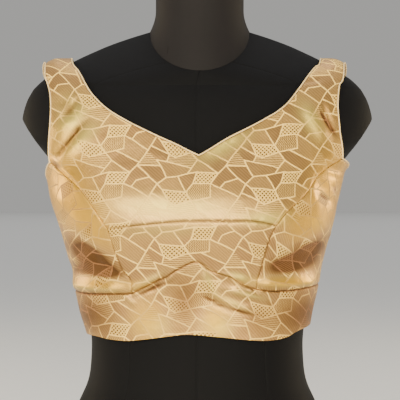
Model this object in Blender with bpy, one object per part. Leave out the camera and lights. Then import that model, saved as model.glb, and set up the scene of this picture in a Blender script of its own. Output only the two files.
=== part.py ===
"""A sleeveless fitted blouse of stiff brocade, worn on a limbless dress form.

Metres, +Z up, front towards -Y. The form stands on its flat underside at z = 0. The blouse is a thin
shell round it: a table gives its half widths and depths at each level, outlines drawn as seen from the
front are laid onto that shell, and each cut piece is a wall between its own outlines.
"""

import math

import bmesh
import bpy
from mathutils import Vector

# Cloth
WALL = 0.0013
SEAM_GAP = 0.0003
PIPING_RADIUS = 0.0009
SHELL_SQUARENESS = 2.35
PLACKET_WIDTH = 0.024
PLACKET_WALL = 0.0012
PLACKET_GAP = 0.0007
PLACKET_SHORT = 0.0020
PLACKET_ROWS = 12

# Placing: the form's middle, and the shift that centres the whole part fore and aft
FORM_CENTRE = -0.0015
MIDDLE_SHIFT = 0.0105

# The blouse's outer face, hem to shoulder: height, then half width on each side and depth fore and aft
SHELL = (
    # height, left, right, front, back
    (0.2200, 0.1290, 0.1270, 0.0960, 0.0910),
    (0.2360, 0.1320, 0.1300, 0.0970, 0.0920),
    (0.2600, 0.1395, 0.1340, 0.1000, 0.0950),
    (0.2840, 0.1445, 0.1395, 0.1040, 0.0980),
    (0.3070, 0.1490, 0.1435, 0.1120, 0.1010),
    (0.3310, 0.1550, 0.1495, 0.1230, 0.1040),
    (0.3500, 0.1600, 0.1540, 0.1310, 0.1060),
    (0.3660, 0.1650, 0.1585, 0.1360, 0.1075),
    (0.3900, 0.1730, 0.1640, 0.1330, 0.1100),
    (0.4100, 0.1768, 0.1685, 0.1250, 0.1115),
    (0.4250, 0.1810, 0.1728, 0.1180, 0.1120),
    (0.4410, 0.1880, 0.1860, 0.1100, 0.1120),
    (0.4700, 0.1920, 0.1920, 0.0980, 0.1100),
    (0.5000, 0.1920, 0.1920, 0.0850, 0.1010),
    (0.5220, 0.1920, 0.1920, 0.0710, 0.0860),
    (0.5385, 0.1920, 0.1920, 0.0540, 0.0670),
    (0.5495, 0.1920, 0.1920, 0.0350, 0.0480),
    (0.5555, 0.1920, 0.1920, 0.0170, 0.0250),
    (0.5572, 0.1920, 0.1920, 0.0000, 0.0000),
)
TOP_LEVEL = len(SHELL) - 1
# Steps over which the shell's slope is taken, in radians and in levels
TURN_STEP = 0.010
LEVEL_STEP = 0.040

# Outlines as seen from the front: x across, z up. Straps end on the shoulder line. The neckline and the
# armholes are finished edges, and the cloth stops short of them by the set-in of the piping.
NECK_SET_IN = 0.0018
ARMHOLE_SET_IN = 0.0010
STRAP_INNER = {"left": -0.1488, "right": 0.1458}
STRAP_OUTER = {"left": -0.1795, "right": 0.1710}
NECKLINE = {
    "left": (
        (-0.1457, 0.5497),
        (-0.1371, 0.5385),
        (-0.1251, 0.5177),
        (-0.1141, 0.5039),
        (-0.1007, 0.4918),
        (-0.0787, 0.4783),
        (-0.0502, 0.4639),
        (-0.0218, 0.4508),
    ),
    "right": (
        (0.1405, 0.5497),
        (0.1339, 0.5436),
        (0.1172, 0.5219),
        (0.1019, 0.5017),
        (0.0889, 0.4901),
        (0.0729, 0.4803),
        (0.0491, 0.4675),
        (0.0258, 0.4548),
    ),
}
NECKLINE_POINT = (0.0005, 0.4378)
ARMHOLE = {
    "left": (
        (-0.1765, 0.5393),
        (-0.1725, 0.5265),
        (-0.1687, 0.5140),
        (-0.1669, 0.4914),
        (-0.1677, 0.4695),
        (-0.1690, 0.4411),
    ),
    "right": (
        (0.1655, 0.5353),
        (0.1597, 0.5228),
        (0.1569, 0.5037),
        (0.1569, 0.4863),
        (0.1588, 0.4691),
        (0.1615, 0.4465),
    ),
}
UNDERARM = {"left": 0.4110, "right": 0.4250}
PRINCESS_TOP = {"left": (-0.1687, 0.4320), "right": (0.1625, 0.4360)}
PRINCESS_UPPER = {
    "left": ((-0.1609, 0.4261), (-0.1468, 0.4146), (-0.1309, 0.4010), (-0.1133, 0.3780)),
    "right": ((0.1475, 0.4270), (0.1353, 0.4178), (0.1183, 0.3955), (0.0975, 0.3769)),
}
BUST_CORNER = {"left": (-0.0998, 0.3584), "right": (0.0852, 0.3623)}
BUST_SEAM = ((-0.0690, 0.3619), (-0.0199, 0.3667), (0.0338, 0.3674), (0.0625, 0.3670))
PRINCESS_LOWER = {
    "left": ((-0.0936, 0.3374), (-0.0842, 0.3130), (-0.0754, 0.3019)),
    "right": ((0.0778, 0.3465), (0.0726, 0.3288), (0.0686, 0.3121), (0.0643, 0.2998)),
}
WAIST_CORNER = {"left": (-0.0729, 0.2861), "right": (0.0645, 0.2908)}
WAIST_SEAM_MIDDLE = (
    (-0.0559, 0.2947),
    (-0.0404, 0.3027),
    (-0.0223, 0.3137),
    (-0.0020, 0.3222),
    (0.0147, 0.3122),
    (0.0356, 0.3049),
    (0.0497, 0.2961),
)
WAIST_SEAM_SIDE = {
    "left": ((-0.1264, 0.2835), (-0.1045, 0.2843), (-0.0864, 0.2851)),
    "right": ((0.1236, 0.2903), (0.1003, 0.2882), (0.0783, 0.2884)),
}
WAIST_SIDE = {"left": 0.2855, "right": 0.2935}
HEM_SIDE = {"left": 0.2345, "right": 0.2470}
HEM = (
    (-0.1179, 0.2351),
    (-0.0995, 0.2332),
    (-0.0763, 0.2330),
    (-0.0315, 0.2392),
    (-0.0094, 0.2411),
    (0.0237, 0.2382),
    (0.0706, 0.2332),
    (0.0972, 0.2350),
    (0.1154, 0.2422),
)
BACK_NECKLINE = ((0.985, 0.5400), (0.905, 0.5060), (0.760, 0.4740), (0.520, 0.4500), (0.240, 0.4360))
BACK_NECK_DEPTH = 0.4330
BACK_ARMHOLE = ((1.028, 0.5480), (1.018, 0.5360), (0.950, 0.5050), (0.935, 0.4750), (0.950, 0.4480))
BACK_HEM_MIDDLE = 0.2350

# Soft folds of the front, as seen from the front: both ends, half width, and how far out they stand
FOLDS = (
    # x0, z0, x1, z1, half width, lift
    (-0.1440, 0.2935, -0.0900, 0.2925, 0.0065, 0.0026),
    (-0.1430, 0.3110, -0.0980, 0.3070, 0.0090, -0.0034),
    (-0.1350, 0.3330, -0.1050, 0.3250, 0.0100, -0.0016),
    (0.0700, 0.2985, 0.1340, 0.2990, 0.0065, 0.0026),
    (0.0820, 0.3150, 0.1320, 0.3200, 0.0095, -0.0036),
    (0.1050, 0.3420, 0.1420, 0.3350, 0.0090, -0.0014),
    (-0.1380, 0.4680, -0.1620, 0.4430, 0.0065, -0.0030),
    (-0.1300, 0.4560, -0.1560, 0.4330, 0.0070, 0.0020),
    (-0.1560, 0.5000, -0.1430, 0.4870, 0.0080, -0.0018),
    (0.1410, 0.4920, 0.1560, 0.4620, 0.0070, -0.0026),
    (0.1250, 0.4930, 0.1400, 0.4630, 0.0080, 0.0018),
    (0.1380, 0.4050, 0.1520, 0.3900, 0.0080, -0.0022),
    (0.0150, 0.2960, 0.0600, 0.2820, 0.0060, 0.0014),
)
# Share of a fold that keeps its full height, and how far its ends fade out, in half widths
FOLD_FULL_SHARE = 0.70
FOLD_FADE = 1.6
# The same for the back, where the cloth gathers a little above the waist
BACK_FOLDS = (
    (-0.1250, 0.2850, -0.0450, 0.3000, 0.0090, -0.0014),
    (0.0400, 0.2980, 0.1200, 0.2860, 0.0090, -0.0014),
    (-0.1500, 0.4300, -0.1150, 0.3900, 0.0100, -0.0016),
    (0.1150, 0.3920, 0.1480, 0.4320, 0.0100, -0.0016),
)

# Segments along the outlines; neighbours share them, so their walls stay parallel at the seam
NECK_STEPS = 22
ARMHOLE_STEPS = 8
PRINCESS_UPPER_STEPS = 7
PRINCESS_LOWER_STEPS = 9
SIDE_STEPS = PRINCESS_UPPER_STEPS + PRINCESS_LOWER_STEPS
BUST_STEPS = 14
WAIST_SIDE_STEPS = 7
BAND_STEPS = 4
BODICE_ROWS = 6
BACK_ARMHOLE_STEPS = 9
BACK_NECK_STEPS = BACK_ARMHOLE_STEPS + 3
BACK_MIDDLE_STEPS = BACK_ARMHOLE_STEPS + SIDE_STEPS + BAND_STEPS - BACK_NECK_STEPS
BACK_COLUMNS = 8
CROWDING = 1.3

# The form, underside to shoulder: height, half width, depth fore and aft, squareness of the section
FORM = (
    # height, half width, front, back, squareness
    (0.0000, 0.1680, 0.1030, 0.1110, 2.30),
    (0.0600, 0.1710, 0.1080, 0.1160, 2.30),
    (0.1100, 0.1600, 0.1040, 0.1100, 2.30),
    (0.1540, 0.1390, 0.0970, 0.1000, 2.25),
    (0.1800, 0.1280, 0.0930, 0.0930, 2.20),
    (0.2070, 0.1245, 0.0910, 0.0870, 2.20),
    (0.2370, 0.1250, 0.0910, 0.0860, 2.20),
    (0.2850, 0.1330, 0.0950, 0.0910, 2.20),
    (0.3310, 0.1410, 0.1110, 0.0970, 2.20),
    (0.3660, 0.1500, 0.1210, 0.1010, 2.20),
    (0.3950, 0.1580, 0.1170, 0.1040, 2.15),
    (0.4200, 0.1640, 0.1070, 0.1055, 2.10),
    (0.4400, 0.1760, 0.1000, 0.1060, 2.05),
    (0.4620, 0.2030, 0.0920, 0.1050, 2.00),
    (0.4840, 0.2060, 0.0840, 0.0990, 2.00),
    (0.5050, 0.2010, 0.0750, 0.0900, 2.00),
    (0.5200, 0.1930, 0.0660, 0.0790, 2.00),
)
FORM_SEGMENTS = 44
FORM_RINGS = 26
SHOULDER_RINGS = 7
# Shoulder line from the last of those sections to the neck: share of the way in, share of the way up
SHOULDER = (
    # inward, upward
    (0.000, 0.000),
    (0.060, 0.125),
    (0.140, 0.246),
    (0.350, 0.495),
    (0.530, 0.665),
    (0.660, 0.775),
    (0.830, 0.895),
    (1.000, 1.000),
)
SHOULDER_SPREAD = 0.6
PLATE_TOP = (0.2050, 0.4840)
PLATE_FOOT = (0.1776, 0.4450)
PLATE_LOWEST = 0.4300

# The neck: its seam with the body dips at the front
NECK_SEAM_GAP = 0.0005
NECK_CENTRE = 0.0015
NECK_SEAM_HALF_WIDTH = 0.0585
NECK_SEAM_FRONT = 0.0600
NECK_SEAM_BACK = 0.0560
NECK_SEAM_SIDE_HEIGHT = 0.5880
NECK_SEAM_FRONT_DROP = 0.0515
NECK_SEAM_BACK_RISE = 0.0080
NECK_SEAT_DROP = 0.0120
NECK_HALF_WIDTH = 0.0518
NECK_FRONT = 0.0500
NECK_BACK = 0.0500
NECK_STRAIGHT_HEIGHT = 0.6120
NECK_TOP_HEIGHT = 0.6400
NECK_EDGE = 0.0040
NECK_SEGMENTS = 36
NECK_FLARE_RINGS = 5

BROCADE = ((0.58, 0.40, 0.20), 0.42, 0.30)
PIPING = ((0.74, 0.52, 0.26), 0.45, 0.20)
FORM_COVER = ((0.016, 0.014, 0.013), 0.50, 0.0)
NECK_COVER = ((0.026, 0.024, 0.023), 0.45, 0.0)


def clear_scene():
    for thing in list(bpy.data.objects):
        bpy.data.objects.remove(thing, do_unlink=True)


def finish_material(name, finish):
    colour, roughness, metallic = finish
    material = bpy.data.materials.new(name)
    material.use_nodes = True
    shader = material.node_tree.nodes["Principled BSDF"]
    shader.inputs["Base Color"].default_value = (*colour, 1.0)
    shader.inputs["Roughness"].default_value = roughness
    shader.inputs["Metallic"].default_value = metallic
    return material


def add_node(name, data, finish, stand):
    """One named piece, with its own material, carried by the empty that places the part."""
    piece = bpy.data.objects.new(name, data)
    bpy.context.scene.collection.objects.link(piece)
    data.materials.append(finish_material(name + "_finish", finish))
    piece.parent = stand
    return piece


def mesh_from(name, shape):
    bmesh.ops.recalc_face_normals(shape, faces=shape.faces)
    data = bpy.data.meshes.new(name)
    shape.to_mesh(data)
    shape.free()
    data.shade_smooth()
    data.set_sharp_from_angle(angle=math.radians(40))
    return data


def smooth_between(before, low, high, after, share):
    """A cubic from low to high that runs on smoothly into its neighbours."""
    start, end = (high - before) / 2, (after - low) / 2
    rise = high - low
    return low + share * (start + share * ((3 * rise - 2 * start - end) + share * (start + end - 2 * rise)))


def read(table, level):
    """The row of a table at a level, where whole levels are its own rows."""
    last = len(table) - 1
    level = min(max(level, 0.0), float(last))
    at = min(int(level), last - 1)
    rows = [table[min(max(row, 0), last)] for row in (at - 1, at, at + 1, at + 2)]
    return tuple(smooth_between(*values, level - at) for values in zip(*rows))


def level_at(height):
    """The level at which the shell has a height."""
    low, high = 0.0, float(TOP_LEVEL)
    for _ in range(40):
        middle = (low + high) / 2
        low, high = (middle, high) if read(SHELL, middle)[0] < height else (low, middle)
    return (low + high) / 2


def section_reach(across, squareness):
    return max(0.0, 1 - abs(across) ** squareness) ** (1 / squareness)


def smooth_shell(turn, level):
    """The shell without folds. The turn is 0 in front, a quarter at the side seams, a half behind."""
    height, left, right, front, back = read(SHELL, level)
    across = math.sin(turn)
    half_width = left if across < 0 else right
    depth = -front if math.cos(turn) > 0 else back
    return Vector((half_width * across, depth * section_reach(across, SHELL_SQUARENESS), height))


def outward(surface, turn, level):
    """The outward direction of a surface given by turn and level, straight up on the shoulder line."""
    if level > TOP_LEVEL - LEVEL_STEP / 2:
        return Vector((0.0, 0.0, 1.0))
    upper = min(level + LEVEL_STEP, TOP_LEVEL)
    lower = upper - 2 * LEVEL_STEP
    along = surface(turn + TURN_STEP, level) - surface(turn - TURN_STEP, level)
    up = surface(turn, upper) - surface(turn, lower)
    return along.cross(up).normalized()


def fold_lift(point, behind):
    """How far the folds push the cloth out at a place on the front or the back."""
    lift = 0.0
    for x0, z0, x1, z1, half_width, height in BACK_FOLDS if behind else FOLDS:
        run = Vector((x1 - x0, z1 - z0))
        place = Vector((point.x - x0, point.z - z0))
        share = place.dot(run) / run.length_squared
        aside = (place - run * share).length
        past = max(0.0, abs(share - 0.5) - FOLD_FULL_SHARE / 2) * run.length
        lift += height * math.exp(-((aside / half_width) ** 2) - (past / (FOLD_FADE * half_width)) ** 2)
    return lift


def shell(turn, level):
    """The outer face of the cloth."""
    point = smooth_shell(turn, level)
    lift = fold_lift(point, math.cos(turn) < 0)
    return point + outward(smooth_shell, turn, level) * lift


def station(x, height, behind=False):
    """The turn and level of the shell at a place of an outline."""
    level = level_at(height)
    row = read(SHELL, level)
    half_width = row[1] if x < 0 else row[2]
    turn = math.asin(min(max(x / half_width, -1.0), 1.0))
    return (math.copysign(math.pi, x) - turn if behind else turn, level)


def side_station(side, height, behind=False):
    return (math.copysign(math.pi / 2, -1 if side == "left" else 1), level_at(height))


def strap_station(x, behind=False):
    return station(x, SHELL[-1][0], behind)


def through(stations, steps, crowd=1.0):
    """Evenly spaced stations on a smooth line through the given ones; crowd over 1 packs them at its end."""
    reached = [0.0]
    for one, next_one in zip(stations, stations[1:]):
        reached.append(reached[-1] + (smooth_shell(*next_one) - smooth_shell(*one)).length)
    line = []
    for step in range(steps + 1):
        share = 1 - (1 - step / steps) ** crowd
        distance = share * reached[-1]
        at = next(i for i in range(len(reached) - 1) if distance <= reached[i + 1] + 1e-9)
        along = (distance - reached[at]) / (reached[at + 1] - reached[at])
        line.append(read(stations, at + along))
    return line


def mapped(outline, set_in=0.0, away=1):
    """Stations of an outline, moved into the cloth by the set-in: down, and from the middle or to it."""
    stations = []
    last = len(outline) - 1
    for at, (x, z) in enumerate(outline):
        before, after = outline[max(at - 1, 0)], outline[min(at + 1, last)]
        run = Vector((after[0] - before[0], after[1] - before[1])).normalized()
        moved = x + math.copysign(abs(run.y) * set_in * away, x)
        stations.append(station(moved, z - abs(run.x) * set_in))
    return stations


def blended_panel(bottom, top, left, right):
    """Stations over a four-sided panel, from the stations of its edges."""
    columns, rows = len(bottom) - 1, len(left) - 1
    grid = []
    for row in range(rows + 1):
        up = row / rows
        line = []
        for column in range(columns + 1):
            over = column / columns
            line.append(
                tuple(
                    (1 - up) * bottom[column][k]
                    + up * top[column][k]
                    + (1 - over) * left[row][k]
                    + over * right[row][k]
                    - (1 - up) * ((1 - over) * bottom[0][k] + over * bottom[-1][k])
                    - up * ((1 - over) * top[0][k] + over * top[-1][k])
                    for k in (0, 1)
                )
            )
        grid.append(line)
    return grid


def straight(start, end, steps):
    return [tuple(a + (b - a) * step / steps for a, b in zip(start, end)) for step in range(steps + 1)]


def cloth_wall(name, grid, sunk=0.0, wall=WALL):
    """A panel's wall: a grid on its inner face, extruded to its outer one and trimmed by half a seam gap."""
    rows, columns = len(grid) - 1, len(grid[0]) - 1
    faces = [[shell(*place) for place in line] for line in grid]
    outs = [[outward(shell, *place) for place in line] for line in grid]
    shape = bmesh.new()
    bmesh.ops.create_grid(shape, x_segments=columns, y_segments=rows, size=0.5)
    outer_of = {}
    for vert in shape.verts:
        row, column = round((vert.co.y + 0.5) * rows), round((vert.co.x + 0.5) * columns)
        here = faces[row][column]
        trim = Vector()
        for inner_row, inner_column in (
            (1, column) if row == 0 else (rows - 1, column) if row == rows else (row, column),
            (row, 1) if column == 0 else (row, columns - 1) if column == columns else (row, column),
        ):
            trim += (faces[inner_row][inner_column] - here).normalized() * SEAM_GAP / 2
        out = outs[row][column]
        vert.co = here + trim - out * (sunk + wall)
        outer_of[vert.co.to_tuple()] = here + trim - out * sunk
    grown = bmesh.ops.extrude_face_region(shape, geom=shape.faces[:])["geom"]
    for vert in (item for item in grown if isinstance(item, bmesh.types.BMVert)):
        vert.co = outer_of[vert.co.to_tuple()]
    return mesh_from(name, shape)


def front_lines():
    """The stations of every seam and edge of the front, once for both panels that meet there."""
    lines = {}
    for side in ("left", "right"):
        strap_in, strap_out = strap_station(STRAP_INNER[side]), strap_station(STRAP_OUTER[side])
        princess_top, bust = station(*PRINCESS_TOP[side]), station(*BUST_CORNER[side])
        waist = station(*WAIST_CORNER[side])
        neckline = mapped(NECKLINE[side], NECK_SET_IN)
        lines["neck", side] = through([strap_in, *neckline, station(*NECKLINE_POINT)], NECK_STEPS)
        armhole = mapped(ARMHOLE[side], ARMHOLE_SET_IN, away=-1)
        lines["armhole", side] = through([strap_out, *armhole, princess_top], ARMHOLE_STEPS)
        lines["underarm", side] = through(
            [princess_top, side_station(side, UNDERARM[side])], WAIST_SIDE_STEPS
        )
        lines["upper", side] = through(
            [princess_top, *mapped(PRINCESS_UPPER[side]), bust], PRINCESS_UPPER_STEPS
        )
        lines["lower", side] = through(
            [bust, *mapped(PRINCESS_LOWER[side]), waist], PRINCESS_LOWER_STEPS, CROWDING
        )
        lines["waist", side] = through(
            [side_station(side, WAIST_SIDE[side]), *mapped(WAIST_SEAM_SIDE[side]), waist], WAIST_SIDE_STEPS
        )
        side_top, side_foot = side_station(side, UNDERARM[side]), side_station(side, WAIST_SIDE[side])
        lines["side", side] = through([side_top, side_foot], SIDE_STEPS, CROWDING)
        lines["band side", side] = through([side_foot, side_station(side, HEM_SIDE[side])], BAND_STEPS)
    lines["bust"] = through(
        [lines["upper", "left"][-1], *mapped(BUST_SEAM), lines["upper", "right"][-1]], BUST_STEPS
    )
    lines["waist middle"] = through(
        [lines["lower", "left"][-1], *mapped(WAIST_SEAM_MIDDLE), lines["lower", "right"][-1]], BUST_STEPS
    )
    lines["hem"] = through(
        [lines["band side", "left"][-1], *mapped(HEM), lines["band side", "right"][-1]],
        BUST_STEPS + 2 * WAIST_SIDE_STEPS,
    )
    return lines


def joined(*runs):
    """Runs of stations end to end, each shared end counted once."""
    whole = list(runs[0])
    for run in runs[1:]:
        whole += run[1:]
    return whole


def front_panels(lines):
    neck = joined(lines["neck", "left"], lines["neck", "right"][::-1])
    outer = joined(
        lines["armhole", "left"],
        lines["upper", "left"],
        lines["bust"],
        lines["upper", "right"][::-1],
        lines["armhole", "right"][::-1],
    )
    yield "front_upper", blended_panel(
        outer, neck, straight(outer[0], neck[0], BODICE_ROWS), straight(outer[-1], neck[-1], BODICE_ROWS)
    )
    yield "front_lower", blended_panel(
        lines["waist middle"], lines["bust"], lines["lower", "left"][::-1], lines["lower", "right"][::-1]
    )
    for side in ("left", "right"):
        seam = joined(lines["upper", side], lines["lower", side])
        yield "side_front_" + side, blended_panel(
            lines["waist", side], lines["underarm", side][::-1], lines["side", side][::-1], seam[::-1]
        )
    waist = joined(lines["waist", "left"], lines["waist middle"], lines["waist", "right"][::-1])
    yield "waistband_front", blended_panel(
        lines["hem"], waist, lines["band side", "left"][::-1], lines["band side", "right"][::-1]
    )


def back_lines(lines):
    for side in ("left", "right"):
        inner, outer = STRAP_INNER[side], STRAP_OUTER[side]
        sign = math.copysign(1, inner)
        middle = (sign * math.pi, level_at(BACK_NECK_DEPTH))
        lines["back neck", side] = through(
            [
                strap_station(inner, behind=True),
                *(station(share * inner, z, behind=True) for share, z in BACK_NECKLINE),
                middle,
            ],
            BACK_NECK_STEPS,
        )
        lines["back armhole", side] = through(
            [
                strap_station(outer, behind=True),
                *(station(share * outer, z, behind=True) for share, z in BACK_ARMHOLE),
                side_station(side, UNDERARM[side]),
            ],
            BACK_ARMHOLE_STEPS,
        )
        lines["back middle", side] = through(
            [middle, (sign * math.pi, level_at(BACK_HEM_MIDDLE))], BACK_MIDDLE_STEPS
        )
        lines["back hem", side] = through(
            [lines["band side", side][-1], lines["back middle", side][-1]], BACK_COLUMNS
        )
    return lines


def back_panels(lines):
    for side in ("left", "right"):
        inner = joined(lines["back neck", side], lines["back middle", side])
        outer = joined(lines["back armhole", side], lines["side", side], lines["band side", side])
        shoulder = straight(outer[0], inner[0], BACK_COLUMNS)
        yield "back_" + side, blended_panel(
            lines["back hem", side], shoulder, outer[::-1], inner[::-1]
        )


def placket_grid():
    """The strip under the centre-back opening."""
    foot, top = BACK_HEM_MIDDLE + PLACKET_SHORT, BACK_NECK_DEPTH - PLACKET_SHORT
    heights = (foot + (top - foot) * row / PLACKET_ROWS for row in range(PLACKET_ROWS + 1))
    return [
        [station(across, height, behind=True) for across in (-PLACKET_WIDTH / 2, 0.0, PLACKET_WIDTH / 2)]
        for height in heights
    ]


def edge_path(stations, away, closed):
    """Where piping runs: beside an edge of the cloth, a little proud of its outer face."""
    faces = [shell(*place) for place in stations]
    path = []
    last = len(faces) - 1
    for at, place in enumerate(stations):
        before = at - 1 if closed or at > 0 else at
        after = (at + 1) % (last + 1) if closed else min(at + 1, last)
        arriving = faces[at] - faces[before] if before != at else faces[after] - faces[at]
        leaving = faces[after] - faces[at] if after != at else arriving
        along = arriving.normalized() + leaving.normalized()
        out = outward(shell, *place)
        aside = out.cross(along).normalized() * away
        bend = along.length / 2
        path.append(faces[at] + aside * (PIPING_RADIUS + SEAM_GAP) / bend - out * (WALL - PIPING_RADIUS))
    return path


def piping(name, path, closed):
    data = bpy.data.curves.new(name, "CURVE")
    data.dimensions = "3D"
    data.bevel_depth = PIPING_RADIUS
    data.bevel_resolution = 1
    data.use_fill_caps = True
    line = data.splines.new("POLY")
    line.points.add(len(path) - 1)
    for point, place in zip(line.points, path):
        point.co = (*place, 1.0)
    line.use_cyclic_u = closed
    return data


def ring(segments, place):
    return [place(2 * math.pi * step / segments) for step in range(segments)]


def lofted(name, rings, foot_centre, top_centre):
    """A closed solid through rings of the same count, with a fan over each end."""
    shape = bmesh.new()
    loops = []
    for points in rings:
        verts = [shape.verts.new(point) for point in points]
        loops.append([shape.edges.new((verts[i - 1], verts[i])) for i in range(len(verts))])
    for low, high in zip(loops, loops[1:]):
        bmesh.ops.bridge_loops(shape, edges=low + high)
    for loop, centre in ((loops[0], foot_centre), (loops[-1], top_centre)):
        hub = shape.verts.new(centre)
        for edge in loop:
            shape.faces.new((*edge.verts, hub))
    bmesh.ops.remove_doubles(shape, verts=shape.verts, dist=1e-6)
    return mesh_from(name, shape)


def plate_limit(height):
    """How far out the flat armhole plates let the form reach."""
    slope = (PLATE_TOP[0] - PLATE_FOOT[0]) / (PLATE_TOP[1] - PLATE_FOOT[1])
    return PLATE_TOP[0] + (height - PLATE_TOP[1]) * slope if height > PLATE_LOWEST else PLATE_TOP[0]


def form_section(turn, level):
    height, half_width, front, back, squareness = read(FORM, level)
    across = math.sin(turn)
    x = half_width * across
    x = math.copysign(min(abs(x), plate_limit(height)), x)
    depth = -front if math.cos(turn) > 0 else back
    return Vector((FORM_CENTRE + x, depth * section_reach(across, squareness), height))


def neck_seam(turn):
    forward = math.cos(turn)
    drop = NECK_SEAM_FRONT_DROP if forward > 0 else NECK_SEAM_BACK_RISE
    depth = NECK_SEAM_FRONT if forward > 0 else NECK_SEAM_BACK
    return Vector(
        (
            NECK_CENTRE + NECK_SEAM_HALF_WIDTH * math.sin(turn),
            -depth * forward,
            NECK_SEAM_SIDE_HEIGHT - drop * forward,
        )
    )


def form_body():
    levels = [(len(FORM) - 1) * step / FORM_RINGS for step in range(FORM_RINGS + 1)]
    rings = [ring(FORM_SEGMENTS, lambda turn, level=level: form_section(turn, level)) for level in levels]
    for step in range(1, SHOULDER_RINGS + 1):
        inward, upward = read(SHOULDER, (len(SHOULDER) - 1) * step / SHOULDER_RINGS)

        def shoulder(turn, inward=inward, upward=upward):
            low, high = form_section(turn, len(FORM) - 1), neck_seam(turn)
            aside = abs(math.sin(turn)) ** SHOULDER_SPREAD
            climb = upward * aside + inward * (1 - aside)
            return Vector((*low.lerp(high, inward).xy, low.z + (high.z - low.z) * climb))

        rings.append(ring(FORM_SEGMENTS, shoulder))
    top = Vector((NECK_CENTRE, 0.0, NECK_SEAM_SIDE_HEIGHT - NECK_SEAT_DROP))
    return lofted("form_body", rings, Vector((FORM_CENTRE, 0.0, 0.0)), top)


def form_neck():
    def straight_ring(height, pinch):
        def place(turn):
            depth = NECK_FRONT if math.cos(turn) > 0 else NECK_BACK
            return Vector(
                (
                    NECK_CENTRE + (NECK_HALF_WIDTH - pinch) * math.sin(turn),
                    -(depth - pinch) * math.cos(turn),
                    height,
                )
            )

        return place

    column = straight_ring(NECK_STRAIGHT_HEIGHT, 0.0)
    rings = []
    for step in range(NECK_FLARE_RINGS):
        share = step / NECK_FLARE_RINGS

        def flare(turn, share=share):
            low, high = neck_seam(turn), column(turn)
            inward = 1 - (1 - share) ** 1.8
            return Vector((*low.lerp(high, inward).xy, low.z + NECK_SEAM_GAP + (high.z - low.z) * share))

        rings.append(ring(NECK_SEGMENTS, flare))
    rings.append(ring(NECK_SEGMENTS, column))
    for height, pinch in (
        (NECK_TOP_HEIGHT - NECK_EDGE, 0.0),
        (NECK_TOP_HEIGHT - 0.3 * NECK_EDGE, 0.3 * NECK_EDGE),
        (NECK_TOP_HEIGHT, NECK_EDGE),
    ):
        rings.append(ring(NECK_SEGMENTS, straight_ring(height, pinch)))
    foot = Vector((NECK_CENTRE, 0.0, NECK_SEAM_SIDE_HEIGHT - NECK_SEAT_DROP + NECK_SEAM_GAP))
    return lofted("form_neck", rings, foot, Vector((NECK_CENTRE, 0.0, NECK_TOP_HEIGHT)))


def main():
    clear_scene()
    stand = bpy.data.objects.new("stand", None)
    bpy.context.scene.collection.objects.link(stand)
    stand.location.y = MIDDLE_SHIFT

    add_node("form_body", form_body(), FORM_COVER, stand)
    add_node("form_neck", form_neck(), NECK_COVER, stand)

    lines = back_lines(front_lines())
    for name, grid in (*front_panels(lines), *back_panels(lines)):
        add_node(name, cloth_wall(name, grid), BROCADE, stand)
    strip = cloth_wall("back_placket", placket_grid(), sunk=WALL + PLACKET_GAP, wall=PLACKET_WALL)
    add_node("back_placket", strip, BROCADE, stand)

    neck = joined(
        lines["back neck", "left"][::-1],
        lines["neck", "left"],
        lines["neck", "right"][::-1],
        lines["back neck", "right"],
    )
    neck_path = edge_path(neck, 1, closed=False)
    add_node("neck_piping", piping("neck_piping", neck_path, closed=False), PIPING, stand)
    for side, away in (("left", -1), ("right", 1)):
        loop = joined(
            lines["armhole", side], lines["underarm", side], lines["back armhole", side][::-1]
        )
        path = edge_path(loop[:-1], away, closed=True)
        name = "armhole_piping_" + side
        add_node(name, piping(name, path, closed=True), PIPING, stand)


main()
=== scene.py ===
"""The looks of a sleeveless brocade blouse on a limbless dress form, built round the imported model.

Metres, +Z up, front towards -Y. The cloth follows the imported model's own tables, laid finer and with its
smaller creases. The mosaic of the brocade is charted in millimetres and laid along the cloth by the map of
each panel, which runs across and up the cloth in metres.
"""

import math

import bmesh
import bpy
import numpy as np
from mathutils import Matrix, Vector


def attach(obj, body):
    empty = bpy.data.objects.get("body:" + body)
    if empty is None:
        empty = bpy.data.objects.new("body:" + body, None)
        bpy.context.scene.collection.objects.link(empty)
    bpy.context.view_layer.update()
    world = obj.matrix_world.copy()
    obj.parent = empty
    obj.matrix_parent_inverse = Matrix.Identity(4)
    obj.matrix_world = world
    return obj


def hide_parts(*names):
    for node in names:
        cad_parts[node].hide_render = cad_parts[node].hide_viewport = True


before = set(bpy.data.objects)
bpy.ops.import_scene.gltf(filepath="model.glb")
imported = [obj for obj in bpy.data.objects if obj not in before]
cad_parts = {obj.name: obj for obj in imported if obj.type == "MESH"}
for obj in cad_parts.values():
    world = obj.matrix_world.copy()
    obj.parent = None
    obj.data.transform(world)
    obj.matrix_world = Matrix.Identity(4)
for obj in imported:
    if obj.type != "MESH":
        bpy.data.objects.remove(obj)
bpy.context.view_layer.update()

# Cloth
WALL = 0.0013
SEAM_GAP = 0.0003
PIPING_RADIUS = 0.0009
SHELL_SQUARENESS = 2.35
PLACKET_WIDTH = 0.024
PLACKET_WALL = 0.0012
PLACKET_GAP = 0.0007
PLACKET_SHORT = 0.0020
FORM_CENTRE = -0.0015
MIDDLE_SHIFT = 0.0105

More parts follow.
